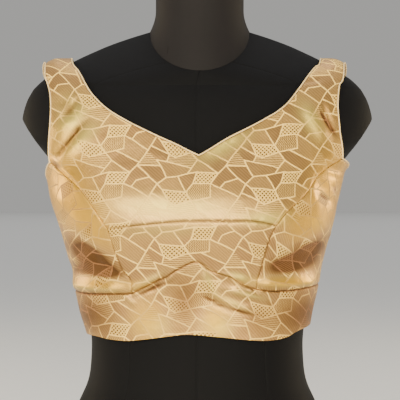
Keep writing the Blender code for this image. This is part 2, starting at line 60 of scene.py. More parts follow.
# The blouse's outer face, hem to shoulder: height, then half width on each side and depth fore and aft
SHELL = (
    # height, left, right, front, back
    (0.2200, 0.1290, 0.1270, 0.0960, 0.0910),
    (0.2360, 0.1320, 0.1300, 0.0970, 0.0920),
    (0.2600, 0.1395, 0.1340, 0.1000, 0.0950),
    (0.2840, 0.1445, 0.1395, 0.1040, 0.0980),
    (0.3070, 0.1490, 0.1435, 0.1120, 0.1010),
    (0.3310, 0.1550, 0.1495, 0.1230, 0.1040),
    (0.3500, 0.1600, 0.1540, 0.1310, 0.1060),
    (0.3660, 0.1650, 0.1585, 0.1360, 0.1075),
    (0.3900, 0.1730, 0.1640, 0.1330, 0.1100),
    (0.4100, 0.1768, 0.1685, 0.1250, 0.1115),
    (0.4250, 0.1810, 0.1728, 0.1180, 0.1120),
    (0.4410, 0.1880, 0.1860, 0.1100, 0.1120),
    (0.4700, 0.1920, 0.1920, 0.0980, 0.1100),
    (0.5000, 0.1920, 0.1920, 0.0850, 0.1010),
    (0.5220, 0.1920, 0.1920, 0.0710, 0.0860),
    (0.5385, 0.1920, 0.1920, 0.0540, 0.0670),
    (0.5495, 0.1920, 0.1920, 0.0350, 0.0480),
    (0.5555, 0.1920, 0.1920, 0.0170, 0.0250),
    (0.5572, 0.1920, 0.1920, 0.0000, 0.0000),
)
TOP_LEVEL = len(SHELL) - 1
TURN_STEP = 0.010
LEVEL_STEP = 0.040

# Outlines as seen from the front: x across, z up
NECK_SET_IN = 0.0018
ARMHOLE_SET_IN = 0.0010
STRAP_INNER = {"left": -0.1512, "right": 0.1458}
STRAP_OUTER = {"left": -0.1795, "right": 0.1710}
NECKLINE = {
    "left": (
        (-0.1457, 0.5497),
        (-0.1371, 0.5385),
        (-0.1251, 0.5177),
        (-0.1141, 0.5039),
        (-0.1007, 0.4918),
        (-0.0787, 0.4783),
        (-0.0502, 0.4639),
        (-0.0218, 0.4508),
    ),
    "right": (
        (0.1405, 0.5497),
        (0.1339, 0.5436),
        (0.1172, 0.5219),
        (0.1019, 0.5017),
        (0.0889, 0.4901),
        (0.0729, 0.4803),
        (0.0491, 0.4675),
        (0.0258, 0.4548),
    ),
}
NECKLINE_POINT = (0.0005, 0.4378)
ARMHOLE = {
    "left": (
        (-0.1765, 0.5393),
        (-0.1725, 0.5265),
        (-0.1687, 0.5140),
        (-0.1669, 0.4914),
        (-0.1677, 0.4695),
        (-0.1690, 0.4411),
    ),
    "right": (
        (0.1655, 0.5353),
        (0.1597, 0.5228),
        (0.1569, 0.5037),
        (0.1569, 0.4863),
        (0.1588, 0.4691),
        (0.1615, 0.4465),
    ),
}
UNDERARM = {"left": 0.4110, "right": 0.4250}
PRINCESS_TOP = {"left": (-0.1687, 0.4320), "right": (0.1625, 0.4360)}
PRINCESS_UPPER = {
    "left": ((-0.1609, 0.4261), (-0.1468, 0.4146), (-0.1309, 0.4010), (-0.1133, 0.3780)),
    "right": ((0.1475, 0.4270), (0.1353, 0.4178), (0.1183, 0.3955), (0.0975, 0.3769)),
}
BUST_CORNER = {"left": (-0.0998, 0.3584), "right": (0.0852, 0.3623)}
BUST_SEAM = ((-0.0690, 0.3619), (-0.0199, 0.3667), (0.0338, 0.3674), (0.0625, 0.3670))
PRINCESS_LOWER = {
    "left": ((-0.0936, 0.3374), (-0.0842, 0.3130), (-0.0754, 0.3019)),
    "right": ((0.0778, 0.3465), (0.0726, 0.3288), (0.0686, 0.3121), (0.0643, 0.2998)),
}
WAIST_CORNER = {"left": (-0.0729, 0.2861), "right": (0.0645, 0.2908)}
WAIST_SEAM_MIDDLE = (
    (-0.0559, 0.2947),
    (-0.0404, 0.3027),
    (-0.0223, 0.3137),
    (-0.0020, 0.3222),
    (0.0147, 0.3122),
    (0.0356, 0.3049),
    (0.0497, 0.2961),
)
WAIST_SEAM_SIDE = {
    "left": ((-0.1264, 0.2835), (-0.1045, 0.2843), (-0.0864, 0.2851)),
    "right": ((0.1236, 0.2903), (0.1003, 0.2882), (0.0783, 0.2884)),
}
WAIST_SIDE = {"left": 0.2855, "right": 0.2935}
HEM_SIDE = {"left": 0.2345, "right": 0.2470}
HEM = (
    (-0.1179, 0.2351),
    (-0.0995, 0.2332),
    (-0.0763, 0.2330),
    (-0.0315, 0.2392),
    (-0.0094, 0.2411),
    (0.0237, 0.2382),
    (0.0706, 0.2332),
    (0.0972, 0.2350),
    (0.1154, 0.2422),
)
BACK_NECKLINE = ((0.985, 0.5400), (0.905, 0.5060), (0.760, 0.4740), (0.520, 0.4500), (0.240, 0.4360))
BACK_NECK_DEPTH = 0.4330
BACK_ARMHOLE = ((1.028, 0.5480), (1.018, 0.5360), (0.950, 0.5050), (0.935, 0.4750), (0.950, 0.4480))
BACK_HEM_MIDDLE = 0.2350

# Folds and creases of the front, as seen from the front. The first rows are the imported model's own folds.
FRONT_FOLDS = (
    # x0, z0, x1, z1, half width, lift, bow
    (-0.1440, 0.2935, -0.0900, 0.2925, 0.0065, 0.0026, 0.0),
    (-0.1430, 0.3110, -0.0980, 0.3070, 0.0090, -0.0034, 0.0),
    (-0.1350, 0.3330, -0.1050, 0.3250, 0.0100, -0.0016, 0.0),
    (0.0700, 0.2985, 0.1340, 0.2990, 0.0065, 0.0026, 0.0),
    (0.0820, 0.3150, 0.1320, 0.3200, 0.0095, -0.0036, 0.0),
    (0.1050, 0.3420, 0.1420, 0.3350, 0.0090, -0.0014, 0.0),
    (-0.1380, 0.4680, -0.1620, 0.4430, 0.0065, -0.0030, 0.0),
    (-0.1300, 0.4560, -0.1560, 0.4330, 0.0070, 0.0020, 0.0),
    (-0.1560, 0.5000, -0.1430, 0.4870, 0.0080, -0.0018, 0.0),
    (0.1410, 0.4920, 0.1560, 0.4620, 0.0070, -0.0026, 0.0),
    (0.1250, 0.4930, 0.1400, 0.4630, 0.0080, 0.0018, 0.0),
    (0.1380, 0.4050, 0.1520, 0.3900, 0.0080, -0.0022, 0.0),
    (0.0150, 0.2960, 0.0600, 0.2820, 0.0060, 0.0014, 0.0),
    # left armhole and strap
    (-0.1338, 0.4740, -0.1619, 0.4397, 0.0022, -0.0016, -0.0010),
    (-0.1332, 0.4912, -0.1587, 0.4680, 0.0050, 0.0010, 0.0),
    (-0.1299, 0.4614, -0.1507, 0.4393, 0.0050, 0.0010, 0.0),
    (-0.1383, 0.5018, -0.1531, 0.4850, 0.0045, -0.0013, 0.0),
    (-0.1281, 0.4773, -0.1372, 0.4696, 0.0040, -0.0009, 0.0),
    (-0.1659, 0.4331, -0.1557, 0.4249, 0.0030, -0.0016, 0.0),
    (-0.1557, 0.4260, -0.1383, 0.4167, 0.0025, 0.0006, 0.0),
    # left side, down to the roll above the waist seam
    (-0.1558, 0.3945, -0.1222, 0.3457, 0.0070, 0.0008, 0.0020),
    (-0.1367, 0.3520, -0.1114, 0.3212, 0.0050, -0.0012, 0.0010),
    (-0.1234, 0.3207, -0.0820, 0.3051, 0.0040, -0.0012, 0.0010),
    (-0.1453, 0.2919, -0.0755, 0.2917, 0.0045, 0.0016, 0.0),
    (-0.0756, 0.2906, -0.0420, 0.3069, 0.0038, 0.0016, 0.0),
    # band, left of its peak
    (-0.0689, 0.2839, -0.0333, 0.3002, 0.0030, -0.0012, 0.0),
    (-0.0353, 0.3114, -0.0533, 0.2888, 0.0025, -0.0010, 0.0010),
    (-0.0288, 0.3092, -0.0422, 0.2844, 0.0040, 0.0011, 0.0),
    (-0.0825, 0.2836, -0.0713, 0.2749, 0.0030, 0.0014, 0.0),
    # band, right of its peak
    (0.0040, 0.3115, 0.0215, 0.2834, 0.0040, 0.0026, -0.0020),
    (0.0193, 0.2845, 0.0593, 0.2662, 0.0042, 0.0022, -0.0015),
    (0.0062, 0.2846, 0.0282, 0.2722, 0.0028, -0.0016, -0.0010),
    (0.0260, 0.2722, 0.0593, 0.2639, 0.0024, -0.0018, 0.0),
    (0.0369, 0.2912, 0.0749, 0.2792, 0.0038, 0.0020, 0.0005),
    (0.0726, 0.2815, 0.0841, 0.2721, 0.0030, -0.0013, 0.0),
    # right side, above the waist seam
    (0.0192, 0.3103, 0.0522, 0.3022, 0.0035, 0.0014, 0.0),
    (0.0567, 0.2988, 0.1348, 0.2971, 0.0045, 0.0016, -0.0010),
    (0.0900, 0.3173, 0.1347, 0.3382, 0.0050, -0.0013, 0.0010),
    (0.1125, 0.3346, 0.1393, 0.3494, 0.0040, 0.0007, 0.0),
    # right armhole and strap
    (0.1369, 0.4913, 0.1552, 0.4667, 0.0020, -0.0014, -0.0010),
    (0.1206, 0.4909, 0.1383, 0.4616, 0.0060, 0.0010, 0.0),
    (0.1443, 0.5009, 0.1532, 0.4804, 0.0035, 0.0008, 0.0),
    (0.1221, 0.5239, 0.1386, 0.5268, 0.0030, -0.0006, 0.0),
    # right side
    (0.1353, 0.3967, 0.1482, 0.3889, 0.0035, -0.0015, 0.0),
    (0.1534, 0.4058, 0.1598, 0.3969, 0.0030, -0.0010, 0.0),
    (0.1257, 0.4055, 0.1355, 0.3699, 0.0040, 0.0007, 0.0010),
    (0.1380, 0.4235, 0.1647, 0.4175, 0.0030, 0.0008, 0.0),
    (0.1330, 0.3700, 0.1548, 0.3476, 0.0040, 0.0008, 0.0),
    (0.1208, 0.3657, 0.1345, 0.3405, 0.0040, -0.0006, 0.0),
    # below the neckline
    (0.0083, 0.4447, 0.0459, 0.4650, 0.0060, 0.0007, 0.0),
    (0.0192, 0.4226, 0.0392, 0.4582, 0.0035, -0.0007, 0.0010),
    (-0.0530, 0.4426, -0.0135, 0.4292, 0.0060, 0.0006, 0.0),
)
# The same for the back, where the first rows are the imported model's own
BACK_FOLDS = (
    (-0.1250, 0.2850, -0.0450, 0.3000, 0.0090, -0.0014, 0.0),
    (0.0400, 0.2980, 0.1200, 0.2860, 0.0090, -0.0014, 0.0),
    (-0.1500, 0.4300, -0.1150, 0.3900, 0.0100, -0.0016, 0.0),
    (0.1150, 0.3920, 0.1480, 0.4320, 0.0100, -0.0016, 0.0),
    (-0.1390, 0.2960, -0.0760, 0.3040, 0.0050, 0.0012, 0.0010),
    (0.0560, 0.3060, 0.1310, 0.2950, 0.0050, 0.0013, 0.0012),
    (-0.1180, 0.3180, -0.0420, 0.3330, 0.0070, -0.0009, 0.0015),
    (0.0610, 0.3360, 0.1240, 0.3230, 0.0065, -0.0010, 0.0012),
    (-0.0960, 0.2700, -0.0300, 0.2790, 0.0055, 0.0008, -0.0010),
    (0.0220, 0.2740, 0.0830, 0.2620, 0.0055, 0.0008, -0.0012),
    (-0.1560, 0.4480, -0.1320, 0.4120, 0.0030, -0.0010, 0.0010),
    (0.1300, 0.4060, 0.1530, 0.4420, 0.0030, -0.0010, -0.0010),
    (-0.1420, 0.4620, -0.1180, 0.4260, 0.0060, 0.0008, 0.0),
    (0.1160, 0.4230, 0.1390, 0.4580, 0.0060, 0.0008, 0.0),
    (-0.0240, 0.4200, -0.0130, 0.3700, 0.0050, 0.0006, 0.0010),
    (0.0140, 0.3850, 0.0230, 0.3350, 0.0050, 0.0006, -0.0010),
)
# A fold is full over this share of its length, and fades past it over so many of its half widths.
# A fold of the front fades behind the side seam over a short depth.
FOLD_FULL_SHARE = 0.70
FOLD_FADE = 1.6
SIDE_FADE = 0.016
# The outer corner of each strap hangs a little over the shoulder's edge
CORNER_DROP = 0.0055
CORNER_WIDTH = 0.0150
CORNER_HEIGHT = 0.0300

# Painted light and shade on the satin, in patches: a gold highlight where the amount is over 0 and a deep
# shade where it is under. Middle across and up, half width, half height, slant in degrees, amount
PAINTED_SHEEN_AND_SHADE = (
    (-0.150, 0.400, 0.030, 0.055, 20.0, 1.00),
    (0.146, 0.400, 0.026, 0.055, -20.0, 0.90),
    (-0.112, 0.355, 0.016, 0.035, 25.0, 0.55),
    (0.112, 0.362, 0.020, 0.020, 0.0, 0.55),
    (-0.122, 0.327, 0.036, 0.013, -34.0, -1.60),
    (0.122, 0.331, 0.034, 0.012, 32.0, -1.40),
    (-0.125, 0.260, 0.032, 0.028, 0.0, -0.88),
    (0.122, 0.260, 0.036, 0.028, 0.0, -0.95),
    (-0.105, 0.297, 0.036, 0.006, 0.0, 1.10),
    (0.100, 0.300, 0.038, 0.006, 0.0, 1.10),
    (-0.058, 0.258, 0.020, 0.024, 10.0, 0.65),
    (0.018, 0.258, 0.014, 0.018, 0.0, 0.65),
    (-0.016, 0.278, 0.018, 0.028, 0.0, -0.70),
    (0.064, 0.258, 0.016, 0.020, 0.0, -0.40),
    (-0.150, 0.462, 0.014, 0.022, 40.0, 0.20),
    (0.140, 0.480, 0.012, 0.026, -30.0, 0.20),
    (0.025, 0.452, 0.030, 0.010, 28.0, 0.10),
    (0.050, 0.470, 0.016, 0.034, -35.0, -0.25),
    (0.070, 0.340, 0.022, 0.018, 0.0, -0.22),
    (-0.1475, 0.4570, 0.0180, 0.0020, 50.7, -0.60),
    (-0.1615, 0.4295, 0.0060, 0.0040, -40.0, -1.20),
    (0.1460, 0.4790, 0.0130, 0.0018, -53.0, -1.20),
    (0.1415, 0.3935, 0.0080, 0.0034, -30.0, -1.10),
    (0.1566, 0.4013, 0.0034, 0.0052, 0.0, -1.00),
    (0.0172, 0.2784, 0.0130, 0.0015, -29.0, -1.00),
    (0.0437, 0.2680, 0.0170, 0.0015, -14.0, -1.00),
    (-0.0510, 0.2920, 0.0190, 0.0018, 24.6, -0.90),
)
# The share of the painted light and shade at the side seams and on the back, where it is painted fainter
SIDE_SHEEN = 0.8
BACK_SHEEN = 0.5
# Painted highlights in patches of the front: there the satin is painted pale, and the raised lines fade into
# the painted shine
PAINTED_PALE_HIGHLIGHTS = (
    (-0.032, 0.3830, 0.070, 0.0130, -1.0, 0.70),
    (0.0755, 0.3700, 0.026, 0.0085, 4.0, 0.90),
    (-0.040, 0.3570, 0.060, 0.0080, 0.0, 0.35),
    (-0.1446, 0.4789, 0.026, 0.0110, 40.0, 1.00),
    (-0.1330, 0.4570, 0.026, 0.0095, 42.0, 1.00),
    (0.1270, 0.4780, 0.024, 0.0115, -60.0, 1.00),
    (0.1306, 0.3690, 0.018, 0.0100, 0.0, 0.55),
    (0.0290, 0.4500, 0.034, 0.0110, 28.0, 1.00),
    (-0.1500, 0.4990, 0.016, 0.0150, 20.0, 0.55),
    (-0.0513, 0.2518, 0.018, 0.0130, 0.0, 0.75),
    (0.0216, 0.2510, 0.014, 0.0130, 0.0, 0.95),
    (0.0125, 0.3000, 0.014, 0.0036, -65.0, 0.95),
    (0.0456, 0.3057, 0.013, 0.0045, -22.0, 0.85),
    (0.0560, 0.2860, 0.020, 0.0036, -18.0, 0.65),
    (0.0380, 0.2770, 0.020, 0.0036, -27.0, 0.65),
    (-0.1065, 0.2960, 0.032, 0.0052, 0.0, 0.35),
    (0.0904, 0.3015, 0.038, 0.0052, 0.0, 0.35),
    (-0.0560, 0.3010, 0.020, 0.0040, 30.0, 0.55),
)

# Steps along the outlines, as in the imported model, and how many finer ones each becomes here
NECK_STEPS = 22
ARMHOLE_STEPS = 8
PRINCESS_UPPER_STEPS = 7
PRINCESS_LOWER_STEPS = 9
SIDE_STEPS = PRINCESS_UPPER_STEPS + PRINCESS_LOWER_STEPS
BUST_STEPS = 14
WAIST_SIDE_STEPS = 7
BAND_STEPS = 4
BACK_ARMHOLE_STEPS = 9
BACK_NECK_STEPS = BACK_ARMHOLE_STEPS + 3
BACK_MIDDLE_STEPS = BACK_ARMHOLE_STEPS + SIDE_STEPS + BAND_STEPS - BACK_NECK_STEPS
CROWDING = 1.3
FINER = 6
BODICE_ROWS = 60
LOWER_COLUMNS = BUST_STEPS * FINER
SIDE_COLUMNS = WAIST_SIDE_STEPS * FINER
BAND_ROWS = 42
BACK_COLUMNS = 56
PLACKET_COLUMNS = 8
PLACKET_ROWS = 59
EDGE_CROWDING = 0.72
MAP_STEPS = 32

# Sewn edges: the cloth dips into its seam, and puckers a little beside it
SEAM_DIP = 0.00075
SEAM_DIP_REACH = 0.0017
PIPED_DIP = 0.15
PUCKER = 0.00016
PUCKER_REACH = 0.0055
PUCKER_WAVES = ((0.0113, 0.3), (0.0071, 1.9), (0.0183, 4.1))
# How much a princess seam dips and puckers, from its foot to its flatter top
PRINCESS_DIP = (1.0, 0.35)

# The form, underside to shoulder: height, half width, depth fore and aft, squareness of the section
FORM = (
    # height, half width, front, back, squareness
    (0.0000, 0.1680, 0.1030, 0.1110, 2.30),
    (0.0600, 0.1710, 0.1080, 0.1160, 2.30),
    (0.1100, 0.1600, 0.1040, 0.1100, 2.30),
    (0.1540, 0.1390, 0.0970, 0.1000, 2.25),
    (0.1800, 0.1280, 0.0930, 0.0930, 2.20),
    (0.2070, 0.1245, 0.0910, 0.0870, 2.20),
    (0.2370, 0.1250, 0.0910, 0.0860, 2.20),
    (0.2850, 0.1330, 0.0950, 0.0910, 2.20),
    (0.3310, 0.1410, 0.1110, 0.0970, 2.20),
    (0.3660, 0.1500, 0.1210, 0.1010, 2.20),
    (0.3950, 0.1580, 0.1170, 0.1040, 2.15),
    (0.4200, 0.1640, 0.1070, 0.1055, 2.10),
    (0.4400, 0.1760, 0.1000, 0.1060, 2.05),
    (0.4620, 0.2030, 0.0920, 0.1050, 2.00),
    (0.4840, 0.2060, 0.0840, 0.0990, 2.00),
    (0.5050, 0.2010, 0.0750, 0.0900, 2.00),
    (0.5200, 0.1930, 0.0660, 0.0790, 2.00),
)
FORM_RINGS = 130
SHOULDER_RINGS = 44
# Shoulder line from the last of those sections to the neck: share of the way in, share of the way up
SHOULDER = (
    # inward, upward
    (0.000, 0.000),
    (0.060, 0.125),
    (0.140, 0.246),
    (0.350, 0.495),
    (0.530, 0.665),
    (0.660, 0.775),
    (0.830, 0.895),
    (1.000, 1.000),
)
SHOULDER_SPREAD = 0.6
PLATE_TOP = (0.2050, 0.4840)
PLATE_FOOT = (0.1776, 0.4450)
PLATE_LOWEST = 0.4300
# Seams of the form's cover: the turn of each, in radians, and how the cover dips there
COVER_SEAMS = (0.0, 0.66, math.pi / 2, math.pi - 0.66, math.pi)
COVER_DIP = 0.0006
COVER_DIP_REACH = 0.0011
# Its mesh has columns this far beside each seam, at its mean radius, and even ones that stay clear of a seam,
# their spacing and clearance in radians
COVER_OFFSETS = (0.0006, 0.0013, 0.0026)
COVER_RADIUS = 0.12
COVER_SPACING = 0.03
COVER_CLEAR = 0.052
# Edges that bend by more degrees than this are crisp
CRISP_ANGLE = 32.0

NECK_SEAM_GAP = 0.0005
NECK_CENTRE = 0.0015
NECK_SEAM_HALF_WIDTH = 0.0585
NECK_SEAM_FRONT = 0.0600
NECK_SEAM_BACK = 0.0560
NECK_SEAM_SIDE_HEIGHT = 0.5880
NECK_SEAM_FRONT_DROP = 0.0515
NECK_SEAM_BACK_RISE = 0.0080
NECK_SEAT_DROP = 0.0120
NECK_SEAT_SHARE = 0.9
NECK_FLARE = 1.8
NECK_HALF_WIDTH = 0.0518
NECK_FRONT = 0.0500
NECK_BACK = 0.0500
NECK_STRAIGHT_HEIGHT = 0.6120
NECK_TOP_HEIGHT = 0.6400
NECK_EDGE = 0.0040
NECK_SEGMENTS = 144
NECK_RINGS = 30
NECK_EDGE_RINGS = 7

# One repeat of the mosaic, in millimetres: its size, its raised lines and the woven cells between them
REPEAT = (97.0, 58.0)
LINE_HALF_WIDTH = 0.75
MOSAIC_LINES = (
    # corners of each line, across and up
    ((0.0, 20.0), (8.5, 33.0), (17.0, 42.0), (29.0, 60.5), (38.0, 76.5)),
    ((38.0, 18.5), (47.0, 26.5), (59.5, 27.5), (81.0, 33.0), (105.5, 33.0)),
    ((105.5, 33.0), (82.5, 48.0), (70.0, 30.2)),
    ((59.5, 27.5), (70.0, 9.0), (75.0, 0.0), (82.5, -10.0)),
    ((81.0, 33.0), (77.0, 19.0), (70.0, 9.0), (43.0, 12.5)),
    (
        (77.0, 19.0), (97.0, 20.0), (96.5, 4.0), (75.0, 0.0),
        (56.5, -6.0), (50.0, -2.0), (43.0, 12.5), (38.0, 18.5),
    ),
    ((32.0, 7.8), (50.0, -2.0), (47.0, -11.5)),
    ((47.0, 26.5), (37.0, 49.0), (47.0, 46.5), (74.5, 37.5)),
    ((40.5, 41.0), (17.0, 42.0), (30.0, 26.0), (38.0, 18.5)),
    ((9.0, 14.5), (14.5, 22.0), (30.0, 26.0)),
    ((0.0, 20.0), (29.0, 2.5)),
    ((-10.0, 2.0), (19.5, -12.0)),
)
# Where two cells overlap the later one shows
WOVEN_CELLS = (
    # weave, corners
    ("ribs", ((50.0, -2.0), (75.0, 0.0), (82.5, -10.0), (74.5, -20.5), (47.0, -11.5))),
    ("ribs", ((17.0, 42.0), (40.5, 41.0), (37.0, 49.0), (29.0, 60.5))),
    ("slant", ((38.0, 18.5), (47.0, 26.5), (59.5, 27.5), (70.0, 9.0), (43.0, 12.5))),
    ("slant", ((0.0, 20.0), (29.0, 2.5), (19.5, -12.0), (-10.0, 2.0))),
    ("slant", ((82.5, 48.0), (105.5, 33.0), (70.0, 30.2))),
    ("seeds", ((37.0, 49.0), (74.5, 37.5), (70.0, 30.2), (59.5, 27.5), (47.0, 26.5))),
    ("seeds", ((9.0, 14.5), (14.5, 22.0), (30.0, 26.0), (38.0, 18.5), (29.0, 2.5))),
    ("chevron", ((77.0, 19.0), (97.0, 20.0), (96.5, 4.0), (75.0, 0.0), (70.0, 9.0))),
    ("check", ((81.0, 33.0), (105.5, 33.0), (97.0, 20.0), (77.0, 19.0))),
    ("check", ((43.0, 12.5), (70.0, 9.0), (75.0, 0.0), (56.5, -6.0), (50.0, -2.0))),
)

# The fine diagonal twill of the plain cells: 155 gives ridges 2.9 mm apart
TWILL_SCALE = 155.0

# The satin's colours where it lies plain, in the shade of its twill, in painted pale and gold highlights, in
# painted shade, between its floats and in the pits of its woven cells, then those of the raised thread:
# plain, in the painted gold highlight and in the painted shade
PLAIN = ((0.55, 0.297, 0.106), (0.68, 0.398, 0.152))
TWILL_SHADE = (0.30, 0.155, 0.050)
PALE_HIGHLIGHT = (0.75, 0.615, 0.140)
GOLDEN_HIGHLIGHT = (0.90, 0.495, 0.029)
BROWN_SHADE = (0.086, 0.032, 0.013)
FLOAT_SHADE = (0.48, 0.26, 0.060)
PIT = (0.13, 0.06, 0.012)
THREAD = (1.00, 0.650, 0.155)
THREAD_IN_HIGHLIGHT = (0.30, 0.136, 0.021)
THREAD_IN_SHADE = (0.26, 0.106, 0.031)
# The plain satin round the cords, and the shade of its own twill
CORDED = ((0.86, 0.60, 0.27), (0.95, 0.72, 0.36))
CORDED_SHADE = (0.62, 0.40, 0.15)
# The knitted covers of the form, body and neck, between their wales and on them
CHARCOAL = ((0.0034, 0.0034, 0.0043), (0.0064, 0.0062, 0.0076))
NECK_CHARCOAL = ((0.0122, 0.0108, 0.0120), (0.0180, 0.0160, 0.0175))

# Where each panel's map starts and how its grain is turned: across, up, in millimetres, and degrees
GRAIN = {
    # panel: across, up, turned
    "front_upper": (83.0, 55.0, 0.0),
    "front_lower": (86.0, 0.0, 0.0),
    "side_front_left": (60.0, 20.0, -24.0),
    "side_front_right": (10.0, 35.0, 22.0),
    "waistband_front": (86.0, 8.0, 4.0),
    "back_left": (20.0, 30.0, 2.0),
    "back_right": (68.0, 4.0, -2.0),
    "back_placket": (0.0, 0.0, 0.0),
}
# The flat cut of what shows of each panel, in metres and square metres
CUT = {
    # panel: width, length, area
    "front_upper": (0.361, 0.240, 0.0426),
    "front_lower": (0.190, 0.087, 0.0111),
    "side_front_left": (0.175, 0.156, 0.0180),
    "side_front_right": (0.176, 0.158, 0.0192),
    "waistband_front": (0.404, 0.093, 0.0225),
    "back_left": (0.236, 0.370, 0.0513),
    "back_right": (0.233, 0.373, 0.0489),
    "back_placket": (0.024, 0.196, 0.0046),
}

# The level camera: its distance from the form's middle, its height and its shift across, then half of its
# frame and its focal length in pixels
CAMERA_DISTANCE = 1.5
CAMERA_HEIGHT = 0.39
CAMERA_ACROSS = 0.00177
HALF_FRAME = 200.0
FOCAL_LENGTH = 1271.0

FLOOR_RADIUS = 40.0
FLOOR_PAINT = ((0.80, 0.80, 0.79), (0.84, 0.84, 0.83))
SKY = (0.95, 0.94, 0.91, 1.0)
SKY_STRENGTH = 0.42
WARM = (1.0, 0.82, 0.52)
WHITE = (1.0, 1.0, 1.0)
LAMPS = (
    # name, place, aim, width, height, power, colour
    ("key", (-0.85, -2.70, 1.02), (0.0, 0.0, 0.38), 3.2, 1.5, 134.0, (1.0, 0.92, 0.68)),
    ("low", (0.70, -2.30, 0.30), (0.0, 0.0, 0.32), 1.2, 0.4, 25.0, (1.0, 0.90, 0.60)),
    ("left", (-2.30, 0.90, 0.70), (0.0, 0.0, 0.34), 1.4, 0.9, 32.0, WARM),
    ("right", (2.30, 0.90, 0.70), (0.0, 0.0, 0.34), 1.4, 0.9, 32.0, WARM),
    ("top", (0.0, 0.3, 2.4), (0.0, 0.0, 0.4), 1.6, 1.2, 14.0, WHITE),
    ("ceiling", (0.0, 12.0, 18.0), (0.0, 12.0, 0.0), 50.0, 40.0, 2200.0, WHITE),
)


def read(table, level):
    """Rows of a table at levels, smooth between them, where whole levels are its own rows."""
    rows = np.asarray(table, float)
    last = len(rows) - 1
    level = np.clip(np.asarray(level, float), 0.0, last)
    at = np.minimum(level.astype(int), last - 1)
    share = (level - at)[..., None]
    before, low, high, after = (rows[np.clip(at + step, 0, last)] for step in (-1, 0, 1, 2))
    start, end, rise = (high - before) / 2, (after - low) / 2, high - low
    return low + share * (start + share * (3 * rise - 2 * start - end + share * (start + end - 2 * rise)))


SHELL_LEVELS = np.linspace(0, TOP_LEVEL, 6001)
SHELL_HEIGHTS = read(SHELL, SHELL_LEVELS)[:, 0]


def level_at(height):
    """The level at which the shell has a height."""
    return float(np.interp(height, SHELL_HEIGHTS, SHELL_LEVELS))


def section_reach(across, squareness):
    return np.maximum(0.0, 1 - np.abs(across) ** squareness) ** (1 / squareness)


def smooth_shell(turn, level):
    """The shell without folds. The turn is 0 in front, a quarter at the side seams, a half behind."""
    turn, level = np.broadcast_arrays(turn, level)
    height, left, right, front, back = np.moveaxis(read(SHELL, level), -1, 0)
    across = np.sin(turn)
    half_width = np.where(across < 0, left, right)
    depth = np.where(np.cos(turn) > 0, -front, back)
    return np.stack((half_width * across, depth * section_reach(across, SHELL_SQUARENESS), height), -1)


def outward(surface, turn, level):
    """The outward direction of a surface given by turn and level, straight up on the shoulder line."""
    upper = np.minimum(level + LEVEL_STEP, TOP_LEVEL)
    lower = upper - 2 * LEVEL_STEP
    along = surface(turn + TURN_STEP, level) - surface(turn - TURN_STEP, level)
    out = np.cross(along, surface(turn, upper) - surface(turn, lower))
    out /= np.linalg.norm(out, axis=-1, keepdims=True)
    out[level > TOP_LEVEL - LEVEL_STEP / 2] = (0.0, 0.0, 1.0)
    return out


def lift_of(folds, point):
    """How far a table of folds pushes the cloth out at each point."""
    lift = np.zeros(point.shape[:-1])
    for x0, z0, x1, z1, half_width, height, bow in folds:
        run = np.array((x1 - x0, z1 - z0))
        length = np.linalg.norm(run)
        place = point[..., (0, 2)] - (x0, z0)
        share = place @ run / length**2
        aside = (place[..., 1] * run[0] - place[..., 0] * run[1]) / length
        aside = aside - bow * (1 - (2 * share - 1) ** 2)
        past = np.maximum(0.0, np.abs(share - 0.5) - FOLD_FULL_SHARE / 2) * length
        lift += height * np.exp(-((aside / half_width) ** 2) - (past / (FOLD_FADE * half_width)) ** 2)
    return lift


def relief(turn, point):
    """How far the folds push the cloth out. A fold of the front runs past the side seam and fades there."""
    behind = np.cos(turn) < 0
    fade = np.where(behind, np.exp(-((point[..., 1] / SIDE_FADE) ** 2)), 1.0)
    return lift_of(FRONT_FOLDS, point) * fade + np.where(behind, lift_of(BACK_FOLDS, point), 0.0)


def shell(turn, level):
    """The outer face of the cloth."""
    turn, level = np.broadcast_arrays(turn, level)
    point = smooth_shell(turn, level)
    corner = np.where(point[..., 0] < 0, STRAP_OUTER["left"], STRAP_OUTER["right"])
    beyond = np.clip(1 - np.abs(corner - point[..., 0]) / CORNER_WIDTH, 0.0, 1.0) ** 2
    high = np.clip(1 - (SHELL[-1][0] - point[..., 2]) / CORNER_HEIGHT, 0.0, 1.0)
    point = point + outward(smooth_shell, turn, level) * relief(turn, point)[..., None]
    point[..., 2] -= CORNER_DROP * beyond * high
    return point


def patches_at(patches, point):
    """The sum of soft oval patches at each point: for the painted light and shade, a painted gold highlight
    over 0 and a painted shade under it.
    """
    painted_light = np.zeros(point.shape[:-1])
    for x, z, half_width, half_height, slant, amount in patches:
        away = point[..., (0, 2)] - (x, z)
        lean = math.radians(slant)
        along = away[..., 0] * math.cos(lean) + away[..., 1] * math.sin(lean)
        aside = away[..., 1] * math.cos(lean) - away[..., 0] * math.sin(lean)
        painted_light += amount * np.exp(-((along / half_width) ** 2) - (aside / half_height) ** 2)
    return painted_light


def station(x, height, behind=False):
    """The turn and level of the shell at a place of an outline."""
    level = level_at(height)
    row = read(SHELL, level)
    turn = math.asin(min(max(x / (row[1] if x < 0 else row[2]), -1.0), 1.0))
    return (math.copysign(math.pi, x) - turn if behind else turn, level)


def side_station(side, height):
    return (math.copysign(math.pi / 2, -1 if side == "left" else 1), level_at(height))


def strap_station(x, behind=False):
    return station(x, SHELL[-1][0], behind)


def through(stations, steps, crowd=1.0, ease=0.0):
    """Stations on a smooth line through the given ones: evenly spaced, packed at its end by crowd over 1,
    or packed at both ends by ease."""
    corners = smooth_shell(*np.array(stations).T)
    reached = np.concatenate(([0.0], np.linalg.norm(np.diff(corners, axis=0), axis=-1).cumsum()))
    share = 1 - (1 - eased(steps, ease)) ** crowd
    return read(stations, np.interp(share * reached[-1], reached, np.arange(len(stations))))


def eased(steps, ease):
    """Shares from 0 to 1 that lie closer together at both ends."""
    share = np.linspace(0, 1, steps + 1)
    return share - ease * np.sin(2 * np.pi * share) / (2 * np.pi)


